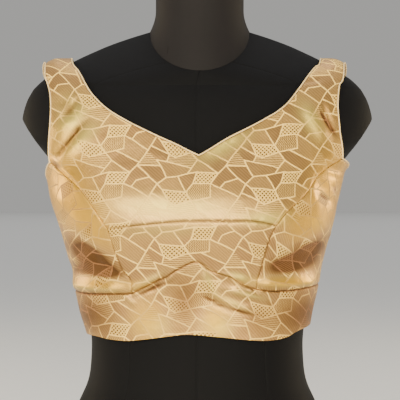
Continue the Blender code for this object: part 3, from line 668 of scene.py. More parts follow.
def mapped(outline, set_in=0.0, away=1):
    """Stations of an outline, moved into the cloth by the set-in: down, and from the middle or to it."""
    stations = []
    last = len(outline) - 1
    for at, (x, z) in enumerate(outline):
        before, after = outline[max(at - 1, 0)], outline[min(at + 1, last)]
        run = Vector((after[0] - before[0], after[1] - before[1])).normalized()
        moved = x + math.copysign(abs(run.y) * set_in * away, x)
        stations.append(station(moved, z - abs(run.x) * set_in))
    return stations


def joined(*runs):
    """Runs of stations end to end, each shared end counted once."""
    return np.concatenate([runs[0], *(run[1:] for run in runs[1:])])


def straight(start, end, steps, ease):
    return start + (end - start) * eased(steps, ease)[:, None]


def blended_panel(bottom, top, left, right, over, up):
    """Stations over a four-sided panel, from the stations of its edges and the shares along them."""
    over, up = over[None, :, None], up[:, None, None]
    ruled = (1 - up) * bottom + up * top + (1 - over) * left[:, None] + over * right[:, None]
    corners = (1 - up) * ((1 - over) * bottom[0] + over * bottom[-1])
    corners = corners + up * ((1 - over) * top[0] + over * top[-1])
    return ruled - corners


def front_lines():
    """The stations of every seam and edge of the front, once for both panels that meet there."""
    lines = {}
    for side in ("left", "right"):
        strap_in, strap_out = strap_station(STRAP_INNER[side]), strap_station(STRAP_OUTER[side])
        princess_top, bust = station(*PRINCESS_TOP[side]), station(*BUST_CORNER[side])
        waist = station(*WAIST_CORNER[side])
        neckline = mapped(NECKLINE[side], NECK_SET_IN)
        lines["neck", side] = through([strap_in, *neckline, station(*NECKLINE_POINT)], NECK_STEPS * FINER)
        armhole = mapped(ARMHOLE[side], ARMHOLE_SET_IN, away=-1)
        lines["armhole", side] = through([strap_out, *armhole, princess_top], ARMHOLE_STEPS * FINER)
        side_top, side_foot = side_station(side, UNDERARM[side]), side_station(side, WAIST_SIDE[side])
        lines["underarm", side] = through([princess_top, side_top], SIDE_COLUMNS, ease=EDGE_CROWDING)
        lines["upper", side] = through(
            [princess_top, *mapped(PRINCESS_UPPER[side]), bust], PRINCESS_UPPER_STEPS * FINER
        )
        lines["lower", side] = through(
            [bust, *mapped(PRINCESS_LOWER[side]), waist],
            PRINCESS_LOWER_STEPS * FINER,
            ease=EDGE_CROWDING,
        )
        lines["waist", side] = through(
            [side_foot, *mapped(WAIST_SEAM_SIDE[side]), waist], SIDE_COLUMNS, ease=EDGE_CROWDING
        )
        lines["side", side] = through([side_top, side_foot], SIDE_STEPS * FINER, CROWDING)
        lines["band side", side] = through(
            [side_foot, side_station(side, HEM_SIDE[side])], BAND_ROWS, ease=EDGE_CROWDING
        )
    lines["bust"] = through(
        [lines["upper", "left"][-1], *mapped(BUST_SEAM), lines["upper", "right"][-1]],
        LOWER_COLUMNS,
        ease=EDGE_CROWDING,
    )
    lines["waist middle"] = through(
        [lines["lower", "left"][-1], *mapped(WAIST_SEAM_MIDDLE), lines["lower", "right"][-1]],
        LOWER_COLUMNS,
        ease=EDGE_CROWDING,
    )
    lines["hem"] = through(
        [lines["band side", "left"][-1], *mapped(HEM), lines["band side", "right"][-1]],
        LOWER_COLUMNS + 2 * SIDE_COLUMNS,
    )
    return lines


def even(line):
    return np.linspace(0, 1, len(line))


def front_panels(lines):
    neck = joined(lines["neck", "left"], lines["neck", "right"][::-1])
    outer = joined(
        lines["armhole", "left"],
        lines["upper", "left"],
        lines["bust"],
        lines["upper", "right"][::-1],
        lines["armhole", "right"][::-1],
    )
    straps = [straight(outer[end], neck[end], BODICE_ROWS, EDGE_CROWDING) for end in (0, -1)]
    rows = eased(BODICE_ROWS, EDGE_CROWDING)
    yield "front_upper", blended_panel(outer, neck, *straps, even(outer), rows)
    sides = lines["lower", "left"][::-1], lines["lower", "right"][::-1]
    columns, rows = eased(LOWER_COLUMNS, EDGE_CROWDING), eased(len(sides[0]) - 1, EDGE_CROWDING)
    yield "front_lower", blended_panel(lines["waist middle"], lines["bust"], *sides, columns, rows)
    columns = eased(SIDE_COLUMNS, EDGE_CROWDING)
    for side in ("left", "right"):
        seam = joined(lines["upper", side], lines["lower", side])
        outer = lines["side", side][::-1]
        top = lines["underarm", side][::-1]
        yield "side_front_" + side, blended_panel(
            lines["waist", side], top, outer, seam[::-1], columns, even(seam)
        )
    waist = joined(lines["waist", "left"], lines["waist middle"], lines["waist", "right"][::-1])
    sides = lines["band side", "left"][::-1], lines["band side", "right"][::-1]
    rows = eased(BAND_ROWS, EDGE_CROWDING)
    yield "waistband_front", blended_panel(lines["hem"], waist, *sides, even(waist), rows)


def back_lines(lines):
    for side in ("left", "right"):
        inner, outer = STRAP_INNER[side], STRAP_OUTER[side]
        sign = math.copysign(1, inner)
        middle = (sign * math.pi, level_at(BACK_NECK_DEPTH))
        neckline = (station(share * inner, z, behind=True) for share, z in BACK_NECKLINE)
        lines["back neck", side] = through(
            [strap_station(inner, behind=True), *neckline, middle], BACK_NECK_STEPS * FINER
        )
        armhole = (station(share * outer, z, behind=True) for share, z in BACK_ARMHOLE)
        lines["back armhole", side] = through(
            [strap_station(outer, behind=True), *armhole, side_station(side, UNDERARM[side])],
            BACK_ARMHOLE_STEPS * FINER,
        )
        lines["back middle", side] = through(
            [middle, (sign * math.pi, level_at(BACK_HEM_MIDDLE))],
            BACK_MIDDLE_STEPS * FINER + BAND_ROWS - BAND_STEPS * FINER,
        )
        lines["back hem", side] = through(
            [lines["band side", side][-1], lines["back middle", side][-1]],
            BACK_COLUMNS,
            ease=EDGE_CROWDING,
        )
    return lines


def back_panels(lines):
    for side in ("left", "right"):
        inner = joined(lines["back neck", side], lines["back middle", side])
        outer = joined(lines["back armhole", side], lines["side", side], lines["band side", side])
        shoulder = straight(outer[0], inner[0], BACK_COLUMNS, EDGE_CROWDING)
        columns = eased(BACK_COLUMNS, EDGE_CROWDING)
        yield "back_" + side, blended_panel(
            lines["back hem", side], shoulder, outer[::-1], inner[::-1], columns, even(outer)
        )


def placket_grid():
    """The strip under the centre-back opening."""
    foot, top = BACK_HEM_MIDDLE + PLACKET_SHORT, BACK_NECK_DEPTH - PLACKET_SHORT
    across = np.linspace(-PLACKET_WIDTH / 2, PLACKET_WIDTH / 2, PLACKET_COLUMNS + 1)
    heights = np.linspace(foot, top, PLACKET_ROWS + 1)
    return np.array([[station(x, height, behind=True) for x in across] for height in heights])


def run_lengths(points, axis):
    """Distances along the lines of a grid from its first row or column."""
    steps = np.linalg.norm(np.diff(points, axis=axis), axis=-1)
    start = np.zeros_like(np.take(steps, [0], axis=axis))
    return np.concatenate((start, steps.cumsum(axis=axis)), axis=axis)


def grain_map(turn, level, behind):
    """How far each place lies round the cloth from the middle of its side, and up it from the hem."""
    middle = np.copysign(np.pi, turn) if behind else np.zeros_like(turn)
    shares = np.linspace(0, 1, MAP_STEPS + 1)[:, None, None]
    round_line = smooth_shell(middle + shares * (turn - middle), level[None])
    distance = np.linalg.norm(np.diff(round_line, axis=0), axis=-1).sum(axis=0)
    upward = smooth_shell(turn[None], shares * level)
    height = np.linalg.norm(np.diff(upward, axis=0), axis=-1).sum(axis=0)
    return np.stack((distance * np.sign(turn) * (-1 if behind else 1), height), -1)


def turned_map(place, panel):
    """The panel's map in metres, shifted and turned to its own grain."""
    across, up, degrees = GRAIN[panel]
    turn = math.radians(degrees)
    turned = place @ np.array(((math.cos(turn), math.sin(turn)), (-math.sin(turn), math.cos(turn))))
    return turned + np.array((across, up)) / 1000


def laid_grid(name, points, chart, **values):
    """A grid of faces laid on points, with its chart as the cloth's own map and values at its points."""
    rows, columns = points.shape[0] - 1, points.shape[1] - 1
    shape = bmesh.new()
    bmesh.ops.create_grid(shape, x_segments=columns, y_segments=rows, size=0.5)
    data = bpy.data.meshes.new(name)
    shape.to_mesh(data)
    shape.free()
    flat = np.empty(len(data.vertices) * 3, np.float32)
    data.vertices.foreach_get("co", flat)
    place = np.rint((flat.reshape(-1, 3)[:, :2] + 0.5) * (columns, rows)).astype(int)
    column, row = place.T
    data.vertices.foreach_set("co", points[row, column].astype(np.float32).ravel())
    corners = np.empty(len(data.loops), np.int32)
    data.loops.foreach_get("vertex_index", corners)
    cloth = data.uv_layers.new(name="cloth")
    cloth.data.foreach_set("uv", chart[row[corners], column[corners]].astype(np.float32).ravel())
    for value, grid in values.items():
        held = data.attributes.new(value, "FLOAT", "POINT")
        held.data.foreach_set("value", grid[row, column].astype(np.float32))
    data.update()
    return data


def facing(data, outs):
    """Turns a grid's faces over where they face into the shell."""
    normal = np.empty(len(data.polygons) * 3, np.float32)
    data.polygons.foreach_get("normal", normal)
    if normal.reshape(-1, 3).mean(axis=0) @ outs.reshape(-1, 3).mean(axis=0) < 0:
        data.flip_normals()


def puckers(run):
    return sum(np.sin(2 * np.pi * run / length + start) for length, start in PUCKER_WAVES)


def add_piece(name, data, finish, node):
    """One piece of the object: it rides on the one body, takes its finish and stands for its CAD node, which
    is hidden.
    """
    piece = bpy.data.objects.new(name, data)
    bpy.context.scene.collection.objects.link(piece)
    data.materials.append(finish)
    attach(piece, "root")
    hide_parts(node)
    return piece


def sewn(panel, rows, columns):
    """How much of a seam's dip each side of a panel has: left, right, bottom and top. Piping needs less."""
    if panel == "front_upper":
        bottom = np.ones(columns)
        bottom[: ARMHOLE_STEPS * FINER] = bottom[-ARMHOLE_STEPS * FINER :] = PIPED_DIP
        return (0.3, 0.3, bottom, PIPED_DIP)
    if panel.startswith("side_front"):
        rising = np.linspace(*PRINCESS_DIP, rows)[:, None]
        return (rising, rising, 1.5, PIPED_DIP)
    if panel == "front_lower":
        return (1.0, 1.0, 1.3, 1.0)
    if panel == "waistband_front":
        return (1.0, 1.0, 0.0, 1.2)
    return (1.0, 0.6, 0.0, 0.4)


def cloth_piece(panel, grid, finish, sunk=0.0, wall=WALL):
    """A panel of the blouse: its outer face with dipped, puckered seams, thickened inwards."""
    turn, level = grid[..., 0], grid[..., 1]
    outer = shell(turn, level)
    out = outward(shell, turn, level)
    along, up = run_lengths(outer, 1), run_lengths(outer, 0)
    sides = (along, along[:, -1:] - along, up, up[-1:] - up)
    dips, ripples = [], []
    for distance, other, share in zip(sides, (up, up, along, along), sewn(panel, *turn.shape)):
        dips.append(share * np.exp(-((distance / SEAM_DIP_REACH) ** 2)))
        fade = np.exp(-distance / PUCKER_REACH) * np.minimum(1, distance / SEAM_DIP_REACH)
        ripples.append(share * puckers(other) * fade)
    dip = SEAM_DIP * np.max(dips, axis=0) + PUCKER * np.sum(ripples, axis=0)
    lying = smooth_shell(turn, level)
    pushed = relief(turn, lying) * 1000
    trimmed = outer - out * (dip + sunk)[..., None] + (0.0, MIDDLE_SHIFT, 0.0)
    for line, inner, axis in ((0, 1, 0), (-1, -2, 0), (0, 1, 1), (-1, -2, 1)):
        here, next_one = np.take(outer, line, axis=axis), np.take(outer, inner, axis=axis)
        step = next_one - here
        length = np.maximum(np.linalg.norm(step, axis=-1, keepdims=True), 1e-9)
        target = (line, slice(None)) if axis == 0 else (slice(None), line)
        trimmed[target] += step / length * np.minimum(SEAM_GAP / 2, length / 2)
    chart = turned_map(grain_map(turn, level, panel.startswith("back")), panel)
    # The folds' relief and the seams' dips go along to paint shade into hollows and seams and highlights onto
    # crests
    values = {"relief": pushed, "seam": np.max(dips, axis=0)}
    values["painted_light"] = patches_at(PAINTED_SHEEN_AND_SHADE, lying) * np.clip(SIDE_SHEEN + np.cos(turn), BACK_SHEEN, 1.0)
    # The painted pale highlights, on the front only
    values["pale"] = np.where(np.cos(turn) < 0, 0.0, patches_at(PAINTED_PALE_HIGHLIGHTS, lying))
    data = laid_grid(panel, trimmed, chart, **values)
    facing(data, out)
    data.shade_smooth()
    piece = add_piece(panel + "_cloth", data, finish, panel)
    thick = piece.modifiers.new("wall", "SOLIDIFY")
    thick.thickness = wall
    thick.offset = -1.0
    thick.use_quality_normals = True
    width, length, area = CUT[panel]


def edge_path(stations, away, closed):
    """Where piping runs: beside an edge of the cloth, a little proud of its outer face."""
    turn, level = stations.T
    faces = shell(turn, level)
    out = outward(shell, turn, level)
    arriving = np.diff(faces, axis=0, prepend=faces[-1:] if closed else faces[:1] * 2 - faces[1:2])
    leaving = np.diff(faces, axis=0, append=faces[:1] if closed else faces[-1:] * 2 - faces[-2:-1])
    arriving /= np.linalg.norm(arriving, axis=-1, keepdims=True)
    leaving /= np.linalg.norm(leaving, axis=-1, keepdims=True)
    along = arriving + leaving
    aside = np.cross(out, along)
    aside /= np.linalg.norm(aside, axis=-1, keepdims=True) * away
    bend = np.linalg.norm(along, axis=-1, keepdims=True) / 2
    path = faces + aside * (PIPING_RADIUS + SEAM_GAP) / bend - out * (WALL - PIPING_RADIUS)
    return path + (0.0, MIDDLE_SHIFT, 0.0)


def piping(name, path, closed):
    data = bpy.data.curves.new(name, "CURVE")
    data.dimensions = "3D"
    data.bevel_depth = PIPING_RADIUS
    data.bevel_resolution = 4
    data.use_fill_caps = True
    line = data.splines.new("POLY")
    line.points.add(len(path) - 1)
    line.points.foreach_set("co", np.column_stack((path, np.ones(len(path)))).astype(np.float32).ravel())
    line.use_cyclic_u = closed
    line.use_smooth = True
    return data


def plate_limit(height):
    """How far out the flat armhole plates let the form reach."""
    slope = (PLATE_TOP[0] - PLATE_FOOT[0]) / (PLATE_TOP[1] - PLATE_FOOT[1])
    return np.where(height > PLATE_LOWEST, PLATE_TOP[0] + (height - PLATE_TOP[1]) * slope, PLATE_TOP[0])


def form_section(turn, level):
    turn, level = np.broadcast_arrays(turn, level)
    height, half_width, front, back, squareness = np.moveaxis(read(FORM, level), -1, 0)
    across = np.sin(turn)
    x = np.sign(across) * np.minimum(np.abs(half_width * across), plate_limit(height))
    depth = np.where(np.cos(turn) > 0, -front, back)
    return np.stack((FORM_CENTRE + x, depth * section_reach(across, squareness), height), -1)


def neck_seam(turn):
    forward = np.cos(turn)
    drop = np.where(forward > 0, NECK_SEAM_FRONT_DROP, NECK_SEAM_BACK_RISE)
    depth = np.where(forward > 0, NECK_SEAM_FRONT, NECK_SEAM_BACK)
    x = NECK_CENTRE + NECK_SEAM_HALF_WIDTH * np.sin(turn)
    return np.stack((x, -depth * forward, NECK_SEAM_SIDE_HEIGHT - drop * forward), -1)


def cover_turns():
    """Turns round the form, closer together beside each seam of its cover."""
    seams = sorted({side * seam for seam in COVER_SEAMS for side in (-1, 1)})
    turns = set(np.round(np.arange(-math.pi, math.pi, COVER_SPACING), 5))
    turns = {turn for turn in turns if min(abs(turn - seam) for seam in seams) > COVER_CLEAR}
    offsets = [side * offset / COVER_RADIUS for offset in COVER_OFFSETS for side in (-1, 1)] + [0.0]
    turns |= {seam + offset for seam in seams for offset in offsets}
    return np.array(sorted(turn for turn in turns if -math.pi <= turn <= math.pi))


def cover_dip(turn):
    """How deep the cover dips at a turn, from the nearest of its seams."""
    nearest = np.min([np.abs(np.abs(turn) - seam) for seam in COVER_SEAMS], axis=0) * COVER_RADIUS
    return COVER_DIP * np.exp(-((nearest / COVER_DIP_REACH) ** 2))


def closed_tube(name, points, chart):
    """A grid whose first and last columns meet, closed at both ends by a flat cap."""
    data = laid_grid(name, points, chart)
    shape = bmesh.new()
    shape.from_mesh(data)
    bmesh.ops.remove_doubles(shape, verts=shape.verts, dist=1e-6)
    bmesh.ops.holes_fill(shape, edges=[edge for edge in shape.edges if edge.is_boundary], sides=0)
    bmesh.ops.recalc_face_normals(shape, faces=shape.faces)
    shape.to_mesh(data)
    shape.free()
    data.shade_smooth()
    data.set_sharp_from_angle(angle=math.radians(CRISP_ANGLE))
    return data


def form_body(finish):
    turn = cover_turns()[None, :]
    levels = np.linspace(0, len(FORM) - 1, FORM_RINGS + 1)[:, None]
    rings = [form_section(turn, levels)]
    low, high = form_section(turn, len(FORM) - 1)[0], neck_seam(turn)[0]
    aside = np.abs(np.sin(turn[0])) ** SHOULDER_SPREAD
    shares = read(SHOULDER, np.linspace(0, len(SHOULDER) - 1, SHOULDER_RINGS + 1)[1:])
    for inward, upward in shares:
        climb = upward * aside + inward * (1 - aside)
        ring = low + (high - low) * inward
        ring[:, 2] = low[:, 2] + (high[:, 2] - low[:, 2]) * climb
        rings.append(ring[None])
    points = np.concatenate(rings)
    middle = np.array((FORM_CENTRE, 0.0, 0.0))
    inwards = (points - middle) * (1, 1, 0)
    inwards /= np.linalg.norm(inwards, axis=-1, keepdims=True)
    points = points - inwards * cover_dip(turn)[..., None]
    points[0] += inwards[0] * cover_dip(turn[0])[:, None]
    points[:, -1] = points[:, 0]
    seat = points[-1:] * (NECK_SEAT_SHARE, NECK_SEAT_SHARE, 0.0)
    seat += (0.0, 0.0, NECK_SEAM_SIDE_HEIGHT - NECK_SEAT_DROP)
    points = np.concatenate((points, seat)) + (0.0, MIDDLE_SHIFT, 0.0)
    chart = np.stack(np.broadcast_arrays(turn, run_lengths(points, 0)), -1)
    data = closed_tube("form_body_cover", points, chart)
    add_piece("form_body_cover", data, finish, "form_body")


def form_neck(finish):
    turn = np.linspace(-math.pi, math.pi, NECK_SEGMENTS + 1)
    seam = neck_seam(turn)

    def column(height, pinch):
        depth = np.where(np.cos(turn) > 0, NECK_FRONT, NECK_BACK) - pinch
        x = NECK_CENTRE + (NECK_HALF_WIDTH - pinch) * np.sin(turn)
        return np.stack((x, -depth * np.cos(turn), np.full_like(turn, height)), -1)

    rings = []
    top = column(NECK_STRAIGHT_HEIGHT, 0.0)
    for share in np.linspace(0, 1, NECK_RINGS, endpoint=False):
        ring = seam + (top - seam) * (1 - (1 - share) ** NECK_FLARE)
        ring[:, 2] = seam[:, 2] + NECK_SEAM_GAP + (top[:, 2] - seam[:, 2]) * share
        rings.append(ring)
    rings.append(top)
    for angle in np.radians(np.linspace(0, 90, NECK_EDGE_RINGS)):
        pinch = NECK_EDGE * (1 - math.cos(angle))
        rings.append(column(NECK_TOP_HEIGHT - NECK_EDGE * (1 - math.sin(angle)), pinch))
    points = np.stack(rings)
    points[:, -1] = points[:, 0]
    foot = points[:1] * (NECK_SEAT_SHARE, NECK_SEAT_SHARE, 0.0)
    foot += (0.0, 0.0, NECK_SEAM_SIDE_HEIGHT - NECK_SEAT_DROP + NECK_SEAM_GAP)
    points = np.concatenate((foot, points)) + (0.0, MIDDLE_SHIFT, 0.0)
    chart = np.stack(np.broadcast_arrays(turn, run_lengths(points, 0)), -1)
    data = closed_tube("form_neck_cover", points, chart)
    add_piece("form_neck_cover", data, finish, "form_neck")


class Wire:
    """A node's output that takes part in sums: each operator adds one Math node."""

    def __init__(self, finish, socket):
        self.finish = finish
        self.socket = socket

    def math(self, operation, other=0.0, clamp=False, first=None):
        settings = {"operation": operation, "use_clamp": clamp}
        values = {0: self if first is None else first, 1: other}
        return self.finish.node("ShaderNodeMath", settings, values)

    def __add__(self, other):
        return self.math("ADD", other)

    def __sub__(self, other):
        return self.math("SUBTRACT", other)

    def __rsub__(self, other):
        return self.math("SUBTRACT", self, first=other)

    def __mul__(self, other):
        return self.math("MULTIPLY", other)

    __radd__ = __add__
    __rmul__ = __mul__

    def least(self, other):
        return self.math("MINIMUM", other)

    def most(self, other):
        return self.math("MAXIMUM", other)

    def sine(self):
        return self.math("SINE")

    def held(self):
        """The value held between 0 and 1."""
        return self.math("ADD", clamp=True)

    def also(self, output):
        """Another output of the same node."""
        return Wire(self.finish, self.socket.node.outputs[output])


class Finish:
    """A material under construction."""

    def __init__(self, name, **constants):
        self.material = bpy.data.materials.new(name)
        self.material.use_nodes = True
        self.tree = self.material.node_tree
        self.shader = self.tree.nodes["Principled BSDF"]
        for socket, value in constants.items():
            self.shader.inputs[socket.replace("_", " ")].default_value = value

    def feed(self, socket, value):
        if isinstance(value, Wire):
            self.tree.links.new(value.socket, socket)
        else:
            socket.default_value = value

    def node(self, kind, settings=None, sockets=None, output=0):
        """One node: its settings first, then the values or wires of its sockets."""
        made = self.tree.nodes.new(kind)
        for name, value in (settings or {}).items():
            setattr(made, name, value)
        for name, value in (sockets or {}).items():
            self.feed(made.inputs[name], value)
        return Wire(self, made.outputs[output])

    def vector(self, operation, *values, output=0):
        return self.node("ShaderNodeVectorMath", {"operation": operation}, dict(enumerate(values)), output)

    def dot(self, vector, direction):
        return self.vector("DOT_PRODUCT", vector, direction, output="Value")

    def mix(self, factor, low, high):
        low, high = ((*c, 1.0) if isinstance(c, tuple) else c for c in (low, high))
        return self.node("ShaderNodeMix", {"data_type": "RGBA"}, {0: factor, 6: low, 7: high}, output=2)

    def noise(self, vector, scale, detail, roughness=0.5):
        sockets = {"Vector": vector, "Scale": scale, "Detail": detail, "Roughness": roughness}
        return self.node("ShaderNodeTexNoise", None, sockets)

    def map(self, name):
        return self.node("ShaderNodeUVMap", {"uv_map": name})

    def value(self, name):
        return self.node("ShaderNodeAttribute", {"attribute_name": name}, output="Fac")

    def place(self):
        return self.node("ShaderNodeTexCoord", output="Object")

    def bump(self, height, distance, strength, normal=None):
        sockets = {"Height": height, "Distance": distance, "Strength": strength}
        if normal is not None:
            sockets["Normal"] = normal
        return self.node("ShaderNodeBump", None, sockets)

    def done(self, **sockets):
        for name, value in sockets.items():
            self.feed(self.shader.inputs[name.replace("_", " ")], value)
        return self.material


def wrapped(points):
    """The shifts by whole repeats at which a shape of the chart reaches into the repeat."""
    xs, zs = zip(*points)
    for across in (-1, 0, 1):
        for up in (-1, 0, 1):
            low = min(xs) + across * REPEAT[0], min(zs) + up * REPEAT[1]
            high = max(xs) + across * REPEAT[0], max(zs) + up * REPEAT[1]
            if low[0] < REPEAT[0] - 0.01 and high[0] > 0.01 and low[1] < REPEAT[1] - 0.01 and high[1] > 0.01:
                yield across * REPEAT[0], up * REPEAT[1]


def line_distance(finish, place):
    """The distance from a place of the repeat to the nearest raised line, in millimetres."""
    nearest = None
    pieces = [pair for corners in MOSAIC_LINES for pair in zip(corners, corners[1:])]
    for start, end in pieces:
        run = Vector((*end, 0.0)) - Vector((*start, 0.0))
        along = run / run.length_squared
        for across, up in wrapped((start, end)):
            first = Vector((start[0] + across, start[1] + up, 0.0))
            share = finish.dot(place, tuple(along)).math("SUBTRACT", along.dot(first), clamp=True)
            settings, sockets = {"operation": "SCALE"}, {0: tuple(run), "Scale": share}
            foot = finish.node("ShaderNodeVectorMath", settings, sockets)
            back = finish.vector("SUBTRACT", place, foot)
            distance = finish.vector("DISTANCE", back, tuple(first), output="Value")
            nearest = distance if nearest is None else nearest.least(distance)
    return nearest


def inside_cell(finish, place, corners):
    """How far inside a cell of the chart a place is, in millimetres; below 0 it is outside."""
    middle = Vector((sum(x for x, z in corners), sum(z for x, z in corners))) / len(corners)
    deepest = None
    for across, up in wrapped(corners):
        depth = None
        for start, end in zip(corners, corners[1:] + corners[:1]):
            run = Vector(end) - Vector(start)
            inward = Vector((-run.y, run.x)).normalized()
            if inward.dot(middle - Vector(start)) < 0:
                inward.negate()
            limit = inward.dot(Vector(start) + Vector((across, up)))
            edge = finish.dot(place, (*inward, 0.0)) - limit
            depth = edge if depth is None else depth.least(edge)
        deepest = depth if deepest is None else deepest.most(depth)
    return deepest


def weaves(finish, place):
    """The fine weaves that fill cells of the mosaic: how much thread shows, and how dark it is between."""
    across = finish.node("ShaderNodeSeparateXYZ", None, {0: place})
    up = across.also(1)
    slope = across + up
    zigzag = up.math("PINGPONG", 1.6)
    spots = ((across * 1.42).sine() * (up * 1.42).sine() * 4.5 - 0.7).held()
    ribs = ((up * 2.75 + across * 0.12).sine() * 1.5 + 0.3).held()
    slants = ((slope * 3.7).sine() * 1.3 + 0.2).held()
    zigzags = (((across + zigzag) * 2.7).sine() * 1.6 + 0.1).held()
    seeds = ((across * 3.5).sine() * (up * 3.5).sine() * 3.0 - 0.5).held()
    return {
        "check": (0.75 - spots * 0.75, spots),
        "ribs": (ribs * 0.55, 0.20 - ribs * 0.20),
        "slant": (slants * 0.30, 0.15 - slants * 0.15),
        "chevron": (zigzags * 0.55, 0.45 - zigzags * 0.45),
        "seeds": (seeds * 0.30, 0.12 - seeds * 0.12),
    }


def brocade():
    """Pale gold satin with a twill, a raised cream mosaic and fine weaves in some of its cells, with
    highlights and shade painted into its colour.
    """
    finish = Finish("brocade")
    chart = finish.map("cloth")
    # The lines fray by a thread's width, and the whole mosaic drifts a little, as woven cloth does
    sway = finish.vector("SUBTRACT", finish.noise(chart, 700.0, 1.0).also("Color"), (0.5, 0.5, 0.5))
    sway = finish.vector("MULTIPLY", sway, (0.0008, 0.0008, 0.0))
    drift = finish.vector("SUBTRACT", finish.noise(chart, 28.0, 0.0).also("Color"), (0.5, 0.5, 0.5))
    drift = finish.vector("MULTIPLY", drift, (0.006, 0.006, 0.0))
    spread = finish.vector("ADD", finish.vector("ADD", chart, sway), drift)
    size = (REPEAT[0] / 1000, REPEAT[1] / 1000, 1.0)
    share = finish.vector("FRACTION", finish.vector("DIVIDE", spread, size))
    place = finish.vector("MULTIPLY", share, (*REPEAT, 0.0))

    line = ((LINE_HALF_WIDTH - line_distance(finish, place)) * 2.6 + 0.5).held()
    fills = weaves(finish, place)
    thread, deep = None, None
    for weave, corners in WOVEN_CELLS:
        cell = (inside_cell(finish, place, corners) * 3.0).held()
        shown, dark = fills[weave]
        thread = cell * shown if thread is None else thread + cell * (shown - thread)
        deep = cell * dark if deep is None else deep + cell * (dark - deep)
    thread = thread.most(line)

    # Painted shade and highlights: the hollows of the folds and the seams are painted in deep shade, the
    # crests are painted pale, and the raised thread fades under the painted pale patches
    pushed, painted_light, seam = finish.value("relief"), finish.value("painted_light"), finish.value("seam")
    pale = finish.value("pale").held()
    hollow_shade = ((pushed + 0.4) * -0.36).held()
    crest_highlight = ((pushed - 0.4) * 0.30).held()
    golden_highlight = painted_light.held()
    painted_shade = (painted_light * -1.0 + hollow_shade * 0.8 + seam * 0.55).held()
    thread = thread * (1 - pale * 0.72)
    broad = finish.noise(chart, 26.0, 3.0, 0.6)
    float_weave = finish.noise(finish.vector("MULTIPLY", chart, (3200.0, 420.0, 1.0)), 1.0, 1.0)
    ground = finish.mix(broad, *PLAIN)
    twill = finish.node(
        "ShaderNodeTexWave",
        {"bands_direction": "DIAGONAL"},
        {"Vector": chart, "Scale": TWILL_SCALE, "Distortion": 1.2, "Detail": 1.0},
    )
    ground = finish.mix(twill * (1 - golden_highlight) * 0.58, ground, TWILL_SHADE)
    # Painted pale highlights: on the crests of the folds and in their patches
    ground = finish.mix((crest_highlight * 0.5).most(pale * 0.9), ground, PALE_HIGHLIGHT)
    # Painted gold highlight, then painted shade, laid into the satin's colour
    ground = finish.mix(golden_highlight, ground, GOLDEN_HIGHLIGHT)
    ground = finish.mix(painted_shade, ground, BROWN_SHADE)
    ground = finish.mix(float_weave * 0.28, ground, FLOAT_SHADE)
    ground = finish.mix(deep * (1 - line) * 0.88, ground, PIT)
    # The raised thread's colour in the painted gold highlight and in the painted shade
    raised = finish.mix(golden_highlight, THREAD, THREAD_IN_HIGHLIGHT)
    raised = finish.mix((painted_shade * 1.2).held(), raised, THREAD_IN_SHADE)
    colour = finish.mix(thread, ground, raised)
    shine = 0.88 - thread * 0.82
    gloss = 0.35 + thread * 0.20 + float_weave * 0.06 + pale * 0.08 - golden_highlight * 0.03 + painted_shade * 0.12

    ribbed = thread * 0.16 + float_weave * 0.05
    fine = finish.bump(ribbed, 0.0010, 0.6)
    crumple = finish.noise(finish.place(), 45.0, 3.0, 0.5)
    normal = finish.bump(crumple, 0.0022, 0.5, fine)
    return finish.done(Base_Color=colour, Metallic=shine, Roughness=gloss, Normal=normal)


def corded():
    """The brocade's plain satin, cut on the bias over a cord."""
    finish = Finish("corded_satin", Metallic=0.2)
    place = finish.place()
    twill = finish.node(
        "ShaderNodeTexWave",
        {"bands_direction": "DIAGONAL"},
        {"Vector": place, "Scale": 420.0, "Distortion": 1.5},
    )
    patch = finish.noise(place, 45.0, 3.0)
    colour = finish.mix(patch, *CORDED)
    colour = finish.mix(twill * 0.25, colour, CORDED_SHADE)
    return finish.done(
        Base_Color=colour, Roughness=0.38 + patch * 0.15, Normal=finish.bump(twill, 0.0002, 0.5)
    )


def stretch_cover(name, low, high, roughness):
    """Charcoal jersey stretched over the form: fine wales, and a slight wear of the pile."""
    finish = Finish(name, Specular_IOR_Level=0.08)
    place = finish.place()
    wales = finish.node(
        "ShaderNodeTexWave", {"bands_direction": "X"}, {"Vector": place, "Scale": 260.0, "Distortion": 0.8}
    )
    courses = finish.node(
        "ShaderNodeTexWave", {"bands_direction": "Z"}, {"Vector": place, "Scale": 320.0, "Distortion": 0.8}
    )
    patch = finish.noise(place, 14.0, 4.0, 0.6)
    knit = wales * courses
    colour = finish.mix(patch * 0.7 + knit * 0.3, low, high)
    return finish.done(
        Base_Color=colour,
        Roughness=roughness + patch * 0.12,
        Normal=finish.bump(knit, 0.0003, 0.5),
    )


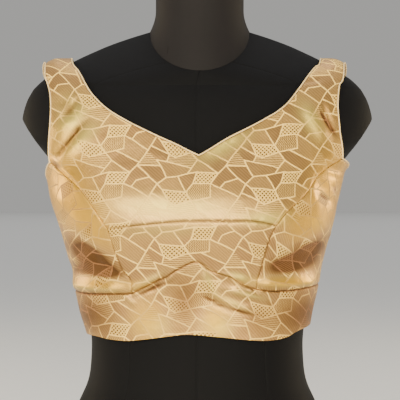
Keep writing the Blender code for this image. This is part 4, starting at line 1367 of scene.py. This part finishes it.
def build_object():
    cover = stretch_cover("form_cover", *CHARCOAL, roughness=0.55)
    neck_cover = stretch_cover("neck_cover", *NECK_CHARCOAL, roughness=0.50)
    form_body(cover)
    form_neck(neck_cover)

    cloth = brocade()
    lines = back_lines(front_lines())
    for panel, grid in (*front_panels(lines), *back_panels(lines)):
        cloth_piece(panel, grid, cloth)
    cloth_piece("back_placket", placket_grid(), cloth, sunk=WALL + PLACKET_GAP, wall=PLACKET_WALL)

    satin = corded()
    neck = joined(
        lines["back neck", "left"][::-1],
        lines["neck", "left"],
        lines["neck", "right"][::-1],
        lines["back neck", "right"],
    )
    add_piece(
        "neck_cord", piping("neck_cord", edge_path(neck, 1, False), False), satin, "neck_piping"
    )
    for side, away in (("left", -1), ("right", 1)):
        loop = joined(lines["armhole", side], lines["underarm", side], lines["back armhole", side][::-1])
        name = "armhole_cord_" + side
        data = piping(name, edge_path(loop[:-1], away, True), True)
        add_piece(name, data, satin, "armhole_piping_" + side)


def softbox(name, place, aim, width, height, power, colour):
    light = bpy.data.lights.new(name, "AREA")
    light.shape = "RECTANGLE"
    light.size, light.size_y = width, height
    light.energy = power
    light.color = colour
    lamp = bpy.data.objects.new(name, light)
    bpy.context.scene.collection.objects.link(lamp)
    lamp.location = place
    lamp.visible_camera = False
    lamp.rotation_euler = (Vector(aim) - Vector(place)).to_track_quat("-Z", "Y").to_euler()


def build_stage():
    """A plain pale floor, a pale surround and soft lights."""
    shape = bmesh.new()
    bmesh.ops.create_circle(shape, cap_ends=True, segments=96, radius=FLOOR_RADIUS)
    data = bpy.data.meshes.new("floor")
    shape.to_mesh(data)
    shape.free()
    floor = bpy.data.objects.new("floor", data)
    bpy.context.scene.collection.objects.link(floor)
    paint = Finish("floor_paint")
    grain = paint.noise(paint.place(), 30.0, 3.0)
    colour = paint.mix(grain, *FLOOR_PAINT)
    data.materials.append(paint.done(Base_Color=colour, Roughness=0.6 + grain * 0.1))

    world = bpy.data.worlds.new("surround")
    world.use_nodes = True
    sky = world.node_tree.nodes["Background"]
    sky.inputs["Color"].default_value = SKY
    sky.inputs["Strength"].default_value = SKY_STRENGTH
    bpy.context.scene.world = world

    for lamp in LAMPS:
        softbox(*lamp)


def build_camera():
    data = bpy.data.cameras.new("camera")
    data.sensor_fit = "HORIZONTAL"
    data.angle = 2 * math.atan(HALF_FRAME / FOCAL_LENGTH)
    camera = bpy.data.objects.new("camera", data)
    bpy.context.scene.collection.objects.link(camera)
    camera.location = (CAMERA_ACROSS, MIDDLE_SHIFT - CAMERA_DISTANCE, CAMERA_HEIGHT)
    camera.rotation_euler = (math.pi / 2, 0.0, 0.0)
    bpy.context.scene.camera = camera


build_camera()
build_object()
build_stage()
